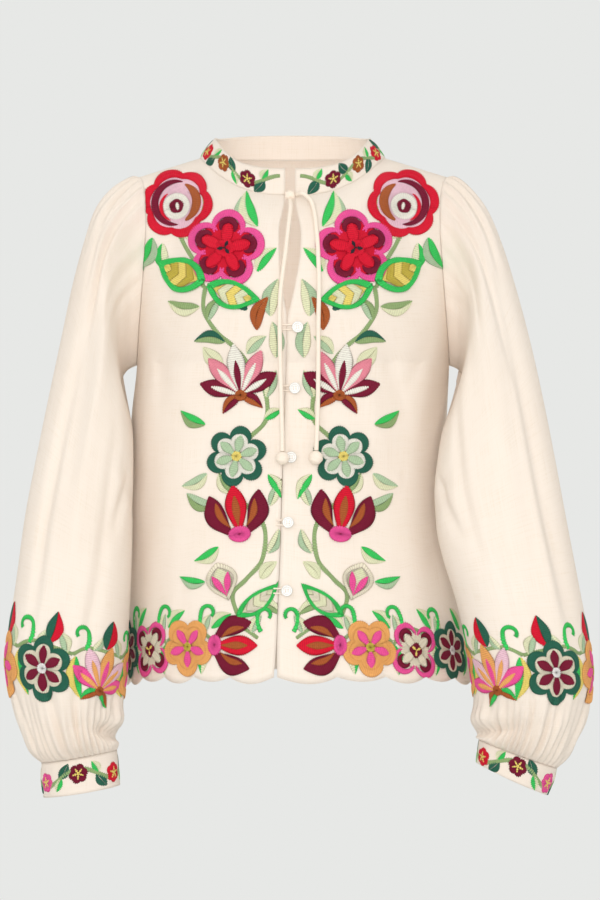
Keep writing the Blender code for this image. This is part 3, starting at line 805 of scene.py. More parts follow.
def frontPoint(side, across, row):
    point = bodyPoint(side, front, across, row)
    slit = atHeight(frontSlit, point.z)
    middle = bodyPoint(side, front, 0, row)
    shift = slit.centreX + side * max(slit.halfGap, cut["slitLeast"]) - middle.x
    point.x += shift * (1 - across) ** 2
    return point


def backPoint(across, row):
    return bodyPoint(left if across >= 0 else right, back, abs(across), row)


def neckRelax(across, row):
    # how far a point may even out, near the crease that runs down from the neck's corner
    offset = (across - neckAcross) / cut["relaxWidth"]
    start, end = cut["relaxRows"]
    near = exp(-offset * offset) * smooth((row - cut["lowerRows"]) / start)
    return near * smooth((topRow - row) / end)


def bodyRow(step):
    # fine steps back to the cut's own rows
    lower = cut["lowerRows"] * cut["lowerSteps"]
    if step <= lower:
        return step / cut["lowerSteps"]
    return cut["lowerRows"] + (step - lower) / cut["upperSteps"]


class Cloth:
    # a piece laid out as a grid, which keeps its points so that stitches can lie on it
    def __init__(
        self, name, node, columns, rows, place, size, wall,
        closed=False, relax=None, material=clothCotton,
    ):
        self.columns = columns
        self.rows = rows
        self.points = []
        for row in range(rows + 1):
            self.points.append([place(column, row) for column in range(columns + 1)])
        if relax:
            self.evenOut(relax)
        bm = bmesh.new()
        bmesh.ops.create_grid(bm, x_segments=columns, y_segments=rows, size=0.5)
        spread = bm.loops.layers.uv.new("spread")
        for face in bm.faces:
            for loop in face.loops:
                x, y, z = loop.vert.co
                loop[spread].uv = ((x + 0.5) * size[0], (y + 0.5) * size[1])
        for vert in bm.verts:
            column = round((vert.co.x + 0.5) * columns)
            row = round((vert.co.y + 0.5) * rows)
            vert.co = self.points[row][column]
        if closed:
            bmesh.ops.remove_doubles(bm, verts=bm.verts, dist=1e-6)
        middle = sum((vert.co for vert in bm.verts), Vector()) / len(bm.verts)
        if not closed:
            middle.y = max(middle.y, 0.0)
        bm.normal_update()
        facing = 0.0
        for face in bm.faces:
            facing += face.normal.dot(face.calc_center_median() - middle) * face.calc_area()
        self.turned = facing < 0
        if self.turned:
            bmesh.ops.reverse_faces(bm, faces=bm.faces)
        bm.normal_update()
        self.tree = BVHTree.FromBMesh(bm)
        self.obj = meshPiece(name, bm, material)
        thicken = self.obj.modifiers.new("wall", "SOLIDIFY")
        thicken.thickness = wall
        thicken.offset = -1.0
        thicken.use_even_offset = False
        finishPiece(self.obj, node)
        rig.slot(self.obj, "cotton")

    def evenOut(self, relax):
        # moves points towards their two neighbours in the row, again and again
        for row, line in enumerate(self.points):
            shares = [relax(column, row) for column in range(1, self.columns)]
            if max(shares) < cut["relaxLeast"]:
                continue
            for _ in range(cut["relaxPasses"]):
                middles = [(line[c - 1] + line[c + 1]) / 2 for c in range(1, self.columns)]
                for c, (share, middle) in enumerate(zip(shares, middles), 1):
                    if share > cut["relaxLeast"]:
                        line[c] = line[c].lerp(middle, share)

    def spot(self, column, row):
        # the cloth's point and outward direction at a place on its grid
        column = min(max(column, 0.0), self.columns - 1e-6)
        row = min(max(row, 0.0), self.rows - 1e-6)
        c, r = int(column), int(row)
        u, v = column - c, row - r
        upper, lower = self.points[r + 1], self.points[r]
        start = lower[c].lerp(lower[c + 1], u)
        end = upper[c].lerp(upper[c + 1], u)
        along = end - start
        across = lower[c + 1].lerp(upper[c + 1], v) - lower[c].lerp(upper[c], v)
        normal = across.cross(along).normalized()
        return start + along * v, -normal if self.turned else normal

    def lengths(self, fixedRow=None, fixedColumn=None):
        # running length along one row or one column
        if fixedRow is not None:
            line = self.points[fixedRow]
        else:
            line = [row[fixedColumn] for row in self.points]
        total = [0.0]
        for start, end in zip(line, line[1:]):
            total.append(total[-1] + (end - start).length)
        return total


def lookUp(lengths, value):
    # the index, with its fraction, at which a running length reaches a value
    if value <= lengths[0]:
        return 0.0
    low, high = 0, len(lengths) - 1
    if value >= lengths[-1]:
        return float(high)
    while high - low > 1:
        middle = (low + high) // 2
        if lengths[middle] <= value:
            low = middle
        else:
            high = middle
    return low + (value - lengths[low]) / max(lengths[high] - lengths[low], 1e-9)


fineColumns = cut["bodyColumns"] * cut["columnSteps"]
fineRows = cut["lowerRows"] * cut["lowerSteps"] + cut["armholeRows"] * cut["upperSteps"]
panels = {}
for side in (right, left):
    panels[side] = Cloth(
        f"panel_front_{sideWord[side]}",
        f"front_{sideWord[side]}",
        fineColumns,
        fineRows,
        lambda column, row: frontPoint(side, column / fineColumns, bodyRow(row)),
        cut["frontSpread"],
        cut["wall"],
        relax=lambda column, row: neckRelax(column / fineColumns, bodyRow(row)),
    )
backPanel = Cloth(
    "panel_back",
    "back",
    2 * fineColumns,
    fineRows,
    lambda column, row: backPoint(column / fineColumns - 1, bodyRow(row)),
    cut["backSpread"],
    cut["wall"],
    relax=lambda column, row: neckRelax(abs(column / fineColumns - 1), bodyRow(row)),
)
print("body made")


# Sleeves

Ring = namedtuple("Ring", "outerX outerY outerZ innerX innerY innerZ halfDepth")
sleeveRings = {
    right: table(Ring, [
        (178, 4, -10.5, 170, -3, -212, 48),
        (196, 0, -23, 174, -14, -222, 53),
        (210, -6, -44, 172, -30, -236, 55),
        (219, -14, -78, 168, -46, -254, 55),
        (229, -26, -122, 165, -61, -277, 54),
        (240, -39, -178, 164, -71, -306, 53),
        (252, -51, -238, 164, -77, -340, 53),
        (264, -62, -300, 164.5, -80, -378, 53),
        (275, -70, -360, 165.5, -81, -415, 54),
        (283, -78, -422, 167, -84, -452, 56),
        (290, -83, -472, 169, -86, -490, 59),
        (293.5, -86, -508, 171, -88, -520, 61),
        (289.5, -88, -542, 173.5, -89, -548, 60),
        (281.5, -89, -572, 176.5, -89, -572, 56),
        (270, -89, -600, 177.5, -89, -590, 48),
        (257, -89, -613, 180, -89, -599.5, 35),
    ], millimetre),
    left: table(Ring, [
        (178, 4, -10.5, 170, -3, -212, 48),
        (194, 0, -26, 173, -18, -222, 53),
        (207, -8, -46, 168, -38, -236, 55),
        (218, -20, -78, 160, -58, -254, 56),
        (230, -34, -122, 153, -74, -276, 56),
        (244, -50, -178, 148, -86, -303, 55),
        (257, -66, -240, 144.5, -94, -335, 55),
        (269, -80, -305, 145.5, -100, -370, 55),
        (280, -91, -368, 153, -104, -405, 56),
        (291, -99, -428, 164, -106, -440, 58),
        (300, -104, -478, 174, -107, -480, 61),
        (304, -106, -515, 181, -107, -515, 63),
        (303, -107, -548, 184, -107, -545, 62),
        (296, -107, -576, 183.5, -107, -568, 57),
        (282, -107, -603, 184.5, -107, -583, 47),
        (268.5, -107, -617, 189.5, -107, -588, 35),
    ], millimetre),
}
sleeve = {
    "columns": 224,
    "ringSteps": 6,
    "headBlend": (0.0, 0.30, 0.60, 0.82, 0.95, 1.0),
    "gathers": 26,
    "headReach": 5.0,
    "headDepth": 0.0027,
    "cuffStart": 12.0,
    "cuffEnd": 16,
    "cuffDepth": 0.0029,
    "cuffGathers": 1.5,
    # how much the narrow folds and the others are deepened, and what counts as narrow
    "deepen": {True: 1.8, False: 1.2},
    "narrow": 10,
    "spread": (0.46, 0.60),
}
# folds: rings count from the head seam; angle 0 is the outer edge, 90 the front and 180 the
# inner edge; depths are in millimetres, and a negative one is a ridge
Fold = namedtuple("Fold", "topRing topAngle lowRing lowAngle depth halfAngle")
sleeveFolds = {
    right: table(Fold, [
        (2, 72, 8.5, 74, 5, 15), (1.5, 122, 6, 118, 3.5, 14),
        (9, 90, 13, 58, 4, 14), (12, 150, 15.5, 120, 5, 16),
        (12, 40, 15.5, 62, 4, 14), (2, 285, 9, 290, 5, 16),
        (7, 250, 14, 262, 4.5, 16), (0.6, 58, 5.5, 66, 3, 5),
        (0.6, 36, 4.5, 46, 2.4, 5), (0.5, 96, 4, 92, 2.2, 5),
        (0.7, 112, 3.4, 104, 2, 4), (3, 96, 10, 88, -2.2, 9),
        (5, 60, 11.5, 50, 3, 7), (5.5, 130, 11, 112, 2.6, 8),
        (6.5, 160, 8.6, 128, 3, 7), (9.5, 118, 14.5, 96, 2.2, 6),
        (11.5, 74, 15.6, 80, 2.8, 5), (12.5, 100, 15.7, 98, 2.6, 4),
        (12, 168, 15.4, 140, 3, 6), (12.2, 22, 15.6, 40, 2.8, 5),
        (1, 300, 6, 312, 2.8, 6), (1, 262, 5, 258, 2.6, 6),
        (5, 318, 12, 306, 3, 8), (11, 230, 15.5, 246, 3.2, 7),
        (11.5, 290, 15.5, 282, 3, 6),
    ]),
    left: table(Fold, [
        (1.5, 50, 12, 46, 5.5, 13), (2, 112, 8, 92, 4, 15),
        (9, 84, 13.5, 70, 3.5, 14), (12.5, 128, 15.5, 108, 5, 16),
        (12.5, 30, 15.5, 50, 4, 14), (2, 300, 9, 288, 5, 16),
        (8, 240, 14, 256, 4.5, 16), (0.6, 64, 6.5, 58, 3.4, 5),
        (0.6, 34, 4.5, 40, 2.4, 5), (0.5, 92, 5, 84, 2.6, 5),
        (0.7, 116, 3.4, 108, 2, 4), (2.5, 60, 13, 57, -2.6, 7),
        (4, 132, 9.5, 118, 2.8, 7), (6, 104, 12, 92, 2.4, 7),
        (6.5, 164, 8.8, 130, 3, 7), (10, 60, 15, 66, 2.4, 6),
        (11.8, 96, 15.7, 88, 3, 5), (12.5, 148, 15.6, 126, 3.2, 6),
        (12.4, 70, 15.7, 76, 2.6, 4), (12.2, 12, 15.6, 30, 3, 6),
        (1, 306, 6, 316, 2.8, 6), (1, 266, 5, 260, 2.6, 6),
        (5, 322, 12, 310, 3, 8), (11, 226, 15.5, 240, 3.2, 7),
        (11.5, 286, 15.5, 280, 3, 6),
    ]),
}

# short folds that lie across the sleeve, under the full part above the cuff and at the elbow
Tuck = namedtuple("Tuck", "ring angle depth halfRing halfAngle slant")
sleeveTucks = {
    right: table(Tuck, [
        (14.5, 160, 13, 0.36, 34, 0.28), (13.75, 168, -4, 0.45, 30, 0.2),
        (13.5, 122, 2.8, 0.45, 22, -0.5), (6.8, 158, 3, 0.4, 26, 0.5),
        (14.7, 330, 4.5, 0.35, 30, -0.2),
    ]),
    left: table(Tuck, [
        (14.55, 150, 12, 0.36, 38, 0.34), (13.8, 160, -3.5, 0.45, 32, 0.25),
        (13.4, 60, 2.8, 0.45, 22, 0.45), (7.2, 156, 3, 0.4, 26, 0.5),
        (14.6, 338, 4.5, 0.35, 30, -0.2),
    ]),
}


def ringPoint(side, ring, turn):
    outer = Vector((side * ring.outerX, ring.outerY, ring.outerZ))
    inner = Vector((side * ring.innerX, ring.innerY, ring.innerZ))
    spoke = (outer - inner) / 2 * cos(turn) + Vector((0, -ring.halfDepth, 0)) * sin(turn)
    return (outer + inner) / 2 + spoke


def loopPoint(side, column):
    # the armhole edge, met by the sleeve at each of its columns
    place = column % sleeve["columns"] * 2 * cut["armholeRows"] / sleeve["columns"]
    if place <= cut["armholeRows"]:
        face, row = front, cut["armholeRows"] - place
    else:
        face, row = back, place - cut["armholeRows"]
    share = armholeShare(row)
    return upperPoint(side, face, armholeAngle(face, share), share)


def sleeveStack(side):
    # every ring from the head seam to the cuff seam, at the fine columns
    columns = sleeve["columns"]
    loop = [loopPoint(side, column) for column in range(columns)]
    loopCentre = (loop[0] + loop[columns // 2]) / 2
    stack = [loop]
    for index, ring in enumerate(sleeveRings[side], 1):
        turns = [2 * pi * column / columns for column in range(columns)]
        points = [ringPoint(side, ring, turn) for turn in turns]
        if index < len(sleeve["headBlend"]):
            centre = (points[0] + points[columns // 2]) / 2
            share = sleeve["headBlend"][index]
            points = [
                (edge - loopCentre + centre).lerp(point, share) for edge, point in zip(loop, points)
            ]
        stack.append(points)
    return stack


def sleeveSwell(side, place, turn):
    # gathers at the head and above the cuff, less what the folds take in
    heading = degrees(turn)
    crests = sleeve["gathers"] * turn + 1.7 * sin(3 * turn + side) + 0.8 * sin(7 * turn)
    head = power(1 - place / sleeve["headReach"], 1.2) * min(place / 0.5, 1.0)
    outerSide = power(cos(turn / 2), 2)
    swell = sleeve["headDepth"] * head * outerSide * (sin(crests) + 0.2)
    reach = (place - sleeve["cuffStart"]) / (sleeve["cuffEnd"] - sleeve["cuffStart"])
    if reach > 0:
        pinch = smooth(reach * 1.25) * (1 - 0.5 * smooth((place - 15.2) / 0.8))
        uneven = 0.65 + 0.35 * sin(2 * turn + 4.2)
        ripple = sin(sleeve["cuffGathers"] * crests + 0.6 * reach)
        swell += sleeve["cuffDepth"] * pinch * ripple * uneven
    for fold in sleeveFolds[side]:
        if fold.topRing < place < fold.lowRing:
            along = (place - fold.topRing) / (fold.lowRing - fold.topRing)
            line = fold.topAngle + (fold.lowAngle - fold.topAngle) * along
            line += fold.halfAngle * 0.3 * sin(4 * along + fold.topAngle)
            offset = ((heading - line + 180) % 360 - 180) / fold.halfAngle
            deep = fold.depth / millimetre * sleeve["deepen"][fold.halfAngle < sleeve["narrow"]]
            swell -= deep * power(sin(pi * along), 0.8) * exp(-offset * offset)
    for tuck in sleeveTucks[side]:
        offset = ((heading - tuck.angle + 180) % 360 - 180) / tuck.halfAngle
        rise = (place - tuck.ring - tuck.slant * offset) / tuck.halfRing
        swell -= tuck.depth / millimetre * exp(-rise * rise - offset * offset)
    return swell


def sleevePoint(side, stack, column, step):
    place = step / sleeve["ringSteps"]
    index = min(int(place), len(stack) - 2)
    wrapped = column % sleeve["columns"]
    turn = 2 * pi * wrapped / sleeve["columns"]
    four = [rows[wrapped] for rows in fourAround(stack, index)]
    point = Vector([through(*axis, place - index) for axis in zip(*four)])
    opposite = (wrapped + sleeve["columns"] // 2) % sleeve["columns"]
    across = [rows[opposite] for rows in fourAround(stack, index)]
    centre = (point + Vector([through(*axis, place - index) for axis in zip(*across)])) / 2
    return point + (point - centre).normalized() * sleeveSwell(side, place, turn)


sleeves = {}
for side in (right, left):
    stack = sleeveStack(side)
    sleeves[side] = Cloth(
        f"cloth_sleeve_{sideWord[side]}",
        f"sleeve_{sideWord[side]}",
        sleeve["columns"],
        sleeve["ringSteps"] * len(sleeveRings[side]),
        lambda column, row: sleevePoint(side, stack, column, row),
        sleeve["spread"],
        cut["wall"],
        closed=True,
    )
print("sleeves made")


# Cuffs and collar

cuff = {
    "edge": dict(zip((right, left), table(Ring, [
        (255, -92, -648, 176.5, -92, -635.5, 37),
        (259, -111, -644, 186, -111, -611, 37),
    ], millimetre))),
    "columns": 120,
    "rows": 12,
    "wave": 0.0007,
    "swell": 0.0006,
    "spread": (0.24, 0.04),
}
collar = {
    "rise": {front: 0.028, back: 0.026},
    "sideRise": 0.021,
    "lean": {front: 0.006, back: 0.007},
    "sideLean": 0.016,
    "gap": 0.0002,
    "bow": 0.0012,
    "columnSteps": 5,
    "rows": 10,
    "spread": (0.46, 0.03),
}


def cuffPoint(side, column, row):
    turn = 2 * pi * (column % cuff["columns"]) / cuff["columns"]
    top = ringPoint(side, sleeveRings[side][-1], turn)
    lowest = cuff["edge"][side]
    edge = ringPoint(side, lowest, turn)
    share = row / cuff["rows"]
    point = top.lerp(edge, share)
    middle = (ringPoint(side, lowest, 0) + ringPoint(side, lowest, pi)) / 2
    out = point - middle
    out.z = 0
    wave = cuff["wave"] * sin(5 * turn + 3 * share) * sin(pi * share)
    return point + out.normalized() * (wave + cuff["swell"] * sin(pi * share))


cuffs = {}
for side in (right, left):
    cuffs[side] = Cloth(
        f"band_cuff_{sideWord[side]}",
        f"cuff_{sideWord[side]}",
        cuff["columns"],
        cuff["rows"],
        lambda column, row: cuffPoint(side, column, row),
        cuff["spread"],
        cut["bandWall"],
        closed=True,
        material=bandCotton,
    )


def necklinePoint(step):
    # right front, round the back, left front; ten steps a quarter
    columns = cut["neckColumns"]
    quarter = min(int(step / columns), 3)
    place = step - quarter * columns
    if quarter == 0:
        return frontPoint(right, place / cut["bodyColumns"], topRow)
    if quarter == 1:
        return backPoint(-(columns - place) / cut["bodyColumns"], topRow)
    if quarter == 2:
        return backPoint(place / cut["bodyColumns"], topRow)
    return frontPoint(left, (columns - place) / cut["bodyColumns"], topRow)


def collarPoint(step, share):
    base = necklinePoint(step)
    base.z += collar["gap"]
    turn = pi / 2 * step / cut["neckColumns"]
    centred = cos(turn) ** 2
    face = front if abs(step - 2 * cut["neckColumns"]) > cut["neckColumns"] else back
    rise = collar["sideRise"] + (collar["rise"][face] - collar["sideRise"]) * centred
    lean = collar["sideLean"] + (collar["lean"][face] - collar["sideLean"]) * centred
    inwards = Vector((-base.x * (1 - centred), cut["shoulderY"] - base.y, 0)).normalized()
    bow = -inwards * collar["bow"] * sin(pi * share)
    return base + (inwards * lean + Vector((0, 0, rise))) * share + bow


collarColumns = 4 * cut["neckColumns"] * collar["columnSteps"]
collarBand = Cloth(
    "band_collar",
    "collar",
    collarColumns,
    collar["rows"],
    lambda column, row: collarPoint(column / collar["columnSteps"], row / collar["rows"]),
    collar["spread"],
    cut["bandWall"],
    material=bandCotton,
)
print("bands made")


# Threads and stitches

threadColours = {
    "red": (234, 24, 54),
    "maroon": (130, 24, 54),
    "hotPink": (255, 92, 166),
    "pink": (255, 212, 226),
    "salmon": (246, 148, 164),
    "cream": (255, 252, 238),
    "rust": (186, 98, 50),
    "green": (62, 212, 100),
    "sage": (156, 184, 124),
    "paleSage": (188, 216, 176),
    "lime": (244, 246, 204),
    "teal": (46, 108, 86),
    "yellow": (255, 232, 124),
    "orange": (255, 184, 108),
    "charcoal": (44, 42, 50),
    "beige": (244, 236, 210),
    "olive": (212, 192, 78),
    "white": (252, 250, 246),
}
stitch = {
    "pitch": 1.15,
    "height": 0.75,
    "sink": -0.12,
    "ragged": 0.85,
    "dip": 0.74,
    "narrow": ((0.0, 0.0), (0.16, 0.82), (0.5, 1.0), (0.84, 0.82), (1.0, 0.0)),
    "wide": (
        (0.0, 0.0), (0.09, 0.80), (0.27, 1.0), (0.44, 0.92), (0.5, 0.55),
        (0.56, 0.92), (0.73, 1.0), (0.91, 0.80), (1.0, 0.0),
    ),
    "wideFrom": 6.4,
    "samples": 24,
    "jitter": (0.75, 0.5),
    "drawnIn": -0.4,
    "endSteps": 1.5,
}


class Stitching:
    # satin stitch, laid between pairs of edges and raised off the cloth
    def __init__(self, name, spot):
        self.name = name
        self.spot = spot
        self.bm = bmesh.new()
        self.thread = self.bm.verts.layers.float_color.new("thread")
        self.run = self.bm.verts.layers.float.new("run")
        self.lay = self.bm.verts.layers.float.new("lay")
        self.count = 0
        self.level = 0.0

    def band(self, put, edgeA, edgeB, colour, height=1.0, lift=0.0, closed=False):
        # edgeA and edgeB give the two sides, in millimetres, for a share from 0 to 1
        shares = [step / stitch["samples"] for step in range(stitch["samples"] + 1)]
        sides = [[Vector(put(*edge(share))) for share in shares] for edge in (edgeA, edgeB)]
        widest = max((b - a).length for a, b in zip(*sides))
        profile = stitch["wide"] if widest > stitch["wideFrom"] else stitch["narrow"]
        steps = max(4, 2 * round(max(map(pathLength, sides)) / stitch["pitch"] / 2))
        dye = linear(threadColours[colour])
        self.count += 1
        rows = []
        for index in range(steps + 1):
            share = index / steps
            if closed:
                share %= 1.0
            a = Vector(put(*edgeA(share)))
            b = Vector(put(*edgeB(share)))
            wide = (b - a).length
            out = (b - a) / wide if wide > 0.05 else Vector((0, 0))
            turn = index % steps if closed else index
            steady, swing = stitch["jitter"]
            jitter = steady + swing * sin(12.9 * turn + 5.1 * self.count)
            reach = 1 if index % 2 else stitch["drawnIn"]
            ragged = stitch["ragged"] * jitter * reach * min(wide / 1.5, 1.0)
            a -= out * ragged
            b += out * ragged
            ends = 1.0 if closed else min(1.0, min(index, steps - index) / stitch["endSteps"])
            tall = stitch["height"] * height * ends * min(1.0, 0.25 + wide / 3.0)
            if index % 2 == 0:
                tall *= stitch["dip"]
            row = []
            for across, rise in profile:
                place = a.lerp(b, across)
                point, normal = self.spot(place.x / 1000, place.y / 1000)
                above = stitch["sink"] + rise * (tall - stitch["sink"]) + lift + self.level
                row.append(point + normal * (above / 1000))
            rows.append(row)
        around = len(profile)
        made = bmesh.ops.create_grid(self.bm, x_segments=steps, y_segments=around, size=0.5)
        for vert in made["verts"]:
            index = round((vert.co.x + 0.5) * steps)
            level = round((vert.co.y + 0.5) * around) % around
            vert.co = rows[index][level]
            vert[self.thread] = dye
            vert[self.run] = thread["bundle"] * ((index - 0.5) / 2 + self.count % 17)
            vert[self.lay] = profile[level][0]
        bmesh.ops.remove_doubles(self.bm, verts=made["verts"], dist=2e-6)

    def finish(self):
        rim = [edge for edge in self.bm.edges if edge.is_boundary]
        bmesh.ops.holes_fill(self.bm, edges=rim, sides=6)
        bmesh.ops.recalc_face_normals(self.bm, faces=self.bm.faces)
        print(self.name, len(self.bm.faces))
        obj = finishPiece(meshPiece(self.name, self.bm, stitchThread))
        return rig.slot(obj, "stitched_cotton")


def placer(x, z, turn=0.0, size=1.0, mirror=1, centre=0.0):
    # sets a motif's own millimetres down at x, z, turned anticlockwise
    cosTurn, sinTurn = cos(radians(turn)), sin(radians(turn))

    def put(a, b):
        outward = x + size * (a * cosTurn - b * sinTurn)
        upward = z + size * (a * sinTurn + b * cosTurn)
        return (centre + mirror * outward, upward)

    return put


# Simple shapes, in millimetres

def lobed(radius, lobes=0, depth=0.12, turn=0.0, shift=(0.0, 0.0), squash=1.0):
    def edge(share):
        angle = 2 * pi * share + radians(turn)
        reach = radius
        if lobes:
            reach *= 1 - depth * (1 - power(abs(sin(lobes * angle / 2)), 0.75))
        return (shift[0] + reach * cos(angle), shift[1] + reach * squash * sin(angle))

    return edge


def ringOf(work, put, outer, inner, colour, height=1.0, lift=0.0):
    work.band(put, outer, inner, colour, height, lift, closed=True)


def disc(work, put, outer, colour, height=1.0, lift=0.0):
    samples = 12
    around = [outer(step / samples) for step in range(samples)]
    middle = tuple(sum(values) / samples for values in zip(*around))
    ringOf(work, put, outer, lobed(0.45, shift=middle), colour, height, lift)


def arc(work, put, radius, start, end, wide, colour, shift=(0.0, 0.0), height=1.0, lift=0.0):
    def side(sign):
        def edge(share):
            angle = radians(start + (end - start) * share)
            reach = radius + sign * wide / 2 * power(sin(pi * share), 0.6)
            return (shift[0] + reach * cos(angle), shift[1] + reach * sin(angle))

        return edge

    work.band(put, side(1), side(-1), colour, height, lift)


def leafShape(length, wide, bend, belly=0.85, scale=1.0):
    # edges of a leaf that grows along +b: side -1 or 1, or 0 for its midrib
    def edgeOf(side):
        def edge(share):
            inside = length * (0.5 + (share - 0.5) * scale)
            half = wide / 2 * scale * power(sin(pi * share**belly), 0.85)
            middle = bend * sin(pi * min(max(inside / length, 0), 1))
            return (middle + side * half, inside)

        return edge

    return edgeOf


def leaf(work, put, length, wide, bend, colours=("green", "lime"), lift=0.0):
    shape = leafShape(length, wide, bend)
    work.band(put, shape(-1), shape(0), colours[0], 0.8, lift)
    work.band(put, shape(0), shape(1), colours[1], 0.8, lift)


def petals(work, put, size, rows):
    # as shares of the flower's size: turn, foot, length, width, bend, lift, colour and, where
    # they aren't the usual ones, belly and height
    for turn, x, z, length, wide, bend, lift, colour, *form in rows:
        belly, height = form + [1.35, 1.0][len(form):]
        shape = leafShape(length * size, wide * size, bend * size, belly)
        own = turned(put, turn, (x * size, z * size))
        work.band(own, shape(-1), shape(1), colour, height, lift)


def outline(length, wide, bend, belly, scale):
    # once round a leaf: up one side and down the other
    shape = leafShape(length, wide, bend, belly, scale)

    def edge(share):
        if share <= 0.5:
            return shape(-1)(2 * share)
        return shape(1)(2 - 2 * share)

    return edge


edgedCut = {
    "belly": 0.85,
    "rimInside": 0.70,
    "barsInside": 0.80,
    "bars": 5,
    "slant": (0.13, -0.05),
    "lift": 0.2,
}


def edgedLeaf(work, put, length, wide, bend, fills):
    # a leaf with a raised green rim round slanting bars
    form = (length, wide, bend, edgedCut["belly"])
    whole = outline(*form, 1.0)
    ringOf(work, put, whole, outline(*form, edgedCut["rimInside"]), "green", 1.0, edgedCut["lift"])
    inner = leafShape(*form, edgedCut["barsInside"])
    bars = edgedCut["bars"]
    slant, start = edgedCut["slant"]

    def edgeAt(place):
        place = min(max(place, 0.03), 0.97)

        def edge(share):
            side = 2 * share - 1
            middle, level = inner(0)(place)
            reach = inner(1)(place)[0] - middle
            return (middle + reach * side, level + (slant * abs(side) + start) * length)

        return edge

    for index in range(bars):
        low, high = edgeAt(index / bars), edgeAt((index + 1) / bars)
        work.band(put, low, high, fills[index % 2], 0.8)


def smoothPath(points):
    rows = [Vector(point) for point in points]

    def place(share):
        return between(rows, share * (len(rows) - 1))

    return place


def stem(work, put, points, wide, colour="sage", taper=0.0):
    path = smoothPath(points)

    def side(sign):
        def edge(share):
            start, end = path(max(share - 0.01, 0)), path(min(share + 0.01, 1))
            along = (end - start).normalized()
            half = sign * wide / 2 * (1 - taper * share)
            middle = path(share)
            return (middle.x - along.y * half, middle.y + along.x * half)

        return edge

    work.band(put, side(1), side(-1), colour, 0.9)


def tendril(work, put, radius, wide):
    # a short tail that rises and rolls over at its tip
    points = [(radius, -radius * 1.7), (radius * 1.15, -radius * 0.8)]
    for index in range(8):
        angle = radians(33 * index)
        reach = radius * (1 - 0.065 * index)
        points.append((reach * cos(angle), reach * sin(angle)))
    stem(work, put, points, wide, "green", taper=0.25)


def turned(put, turn, shift=(0.0, 0.0)):
    cosTurn, sinTurn = cos(radians(turn)), sin(radians(turn))

    def own(a, b):
        return put(shift[0] + a * cosTurn - b * sinTurn, shift[1] + a * sinTurn + b * cosTurn)

    return own


# Flowers; every size in them is a share of the flower's own

bloom = {
    "ground": {4: 0.60, 5: 0.74},
    "reach": 0.55,
    # an outline's radius, half its turn, its width, height and lift
    "outlines": [(0.37, 118, 0.20, 1.1, 0.0), (0.19, 122, 0.17, 1.0, 0.1)],
}


def petalBloom(work, put, radius, colours, count=5):
    # rounded petals, each outlined twice, round a heart with long seeds
    *edges, fill, heart, seed = colours
    ground = lobed(radius * bloom["ground"][count])
    ringOf(work, put, ground, lobed(radius * 0.12), fill, 0.55, -0.3)
    for index in range(count):
        turn = 360 * index / count + 90
        reach = radius * bloom["reach"]
        middle = (reach * cos(radians(turn)), reach * sin(radians(turn)))
        lift = 0.1 + 0.12 * (index % 3)
        for colour, (own, half, wide, height, over) in zip(edges, bloom["outlines"]):
            ends = (turn - half, turn + half)
            arc(work, put, radius * own, *ends, radius * wide, colour, middle, height, lift + over)
        petals(work, put, radius, [(turn - 90, 0, 0, 0.66, 0.30, 0, lift + 0.1, fill, 1.25)])
    disc(work, put, lobed(radius * 0.25, count, 0.16, 36), heart, 1.1, 0.7)
    seeds = [(turn, 0, 0, 0.20, 0.09, 0, 1.3, seed, 1.3, 0.7) for turn in (15, 135, 255)]
    petals(work, put, radius, seeds)


def cabbageRose(work, put, radius, colours):
    # a full rose: a lobed rim, and crescents that wrap round an off-centre heart
    rim, second, body, light, heart = colours
    low = (radius * 0.04, -radius * 0.08)
    centre = (0.0, 0.0)
    ripple = (6, 0.08, 12)
    plain = (0, 0, 0, low)
    ringOf(work, put, lobed(radius, 6, 0.15, 12), lobed(radius * 0.74, *ripple), rim, 1.1, 0.1)
    ringOf(work, put, lobed(radius * 0.76, *ripple), lobed(radius * 0.36, *plain), body, 0.9)
    ringOf(work, put, lobed(radius * 0.38, *plain), lobed(radius * 0.17, *plain), light, 0.9)
    for reach, start, end, wide, colour, shift, height, lift in (
        (0.61, -75, 125, 0.20, second, centre, 1.0, 0.75),
        (0.56, 132, 264, 0.25, "rust", centre, 1.0, 0.70),
        (0.43, -50, 75, 0.10, rim, low, 0.9, 0.60),
    ):
        arc(work, put, radius * reach, start, end, radius * wide, colour, shift, height, lift)
    disc(work, put, lobed(radius * 0.21, 5, 0.10, 0, low), heart, 1.0, 0.35)
    petals(work, put, radius, [(10, 0.04, -0.24, 0.26, 0.10, 0, 0.75, "cream")])


def tulip(work, put, size, colours):
    # a cup of three petals on a round base, growing along +b
    side, middle, core, base = colours
    rows = []
    for sign in (-1, 1):
        rows.append((-24 * sign, 0.10 * sign, 0.04, 0.92, 0.40, 0.10 * sign, 0.2, side))
        rows.append((-25 * sign, 0.13 * sign, 0.22, 0.56, 0.13, 0.06 * sign, 0.8, core))
    rows.append((0, 0, 0.06, 0.96, 0.40, 0, 0.5, middle))
    rows.append((0, 0, 0.22, 0.60, 0.15, 0, 1.1, core))
    petals(work, put, size, rows)
    disc(work, put, lobed(size * 0.21, shift=(0, size * 0.10), squash=0.72), base, 1.1, 0.8)


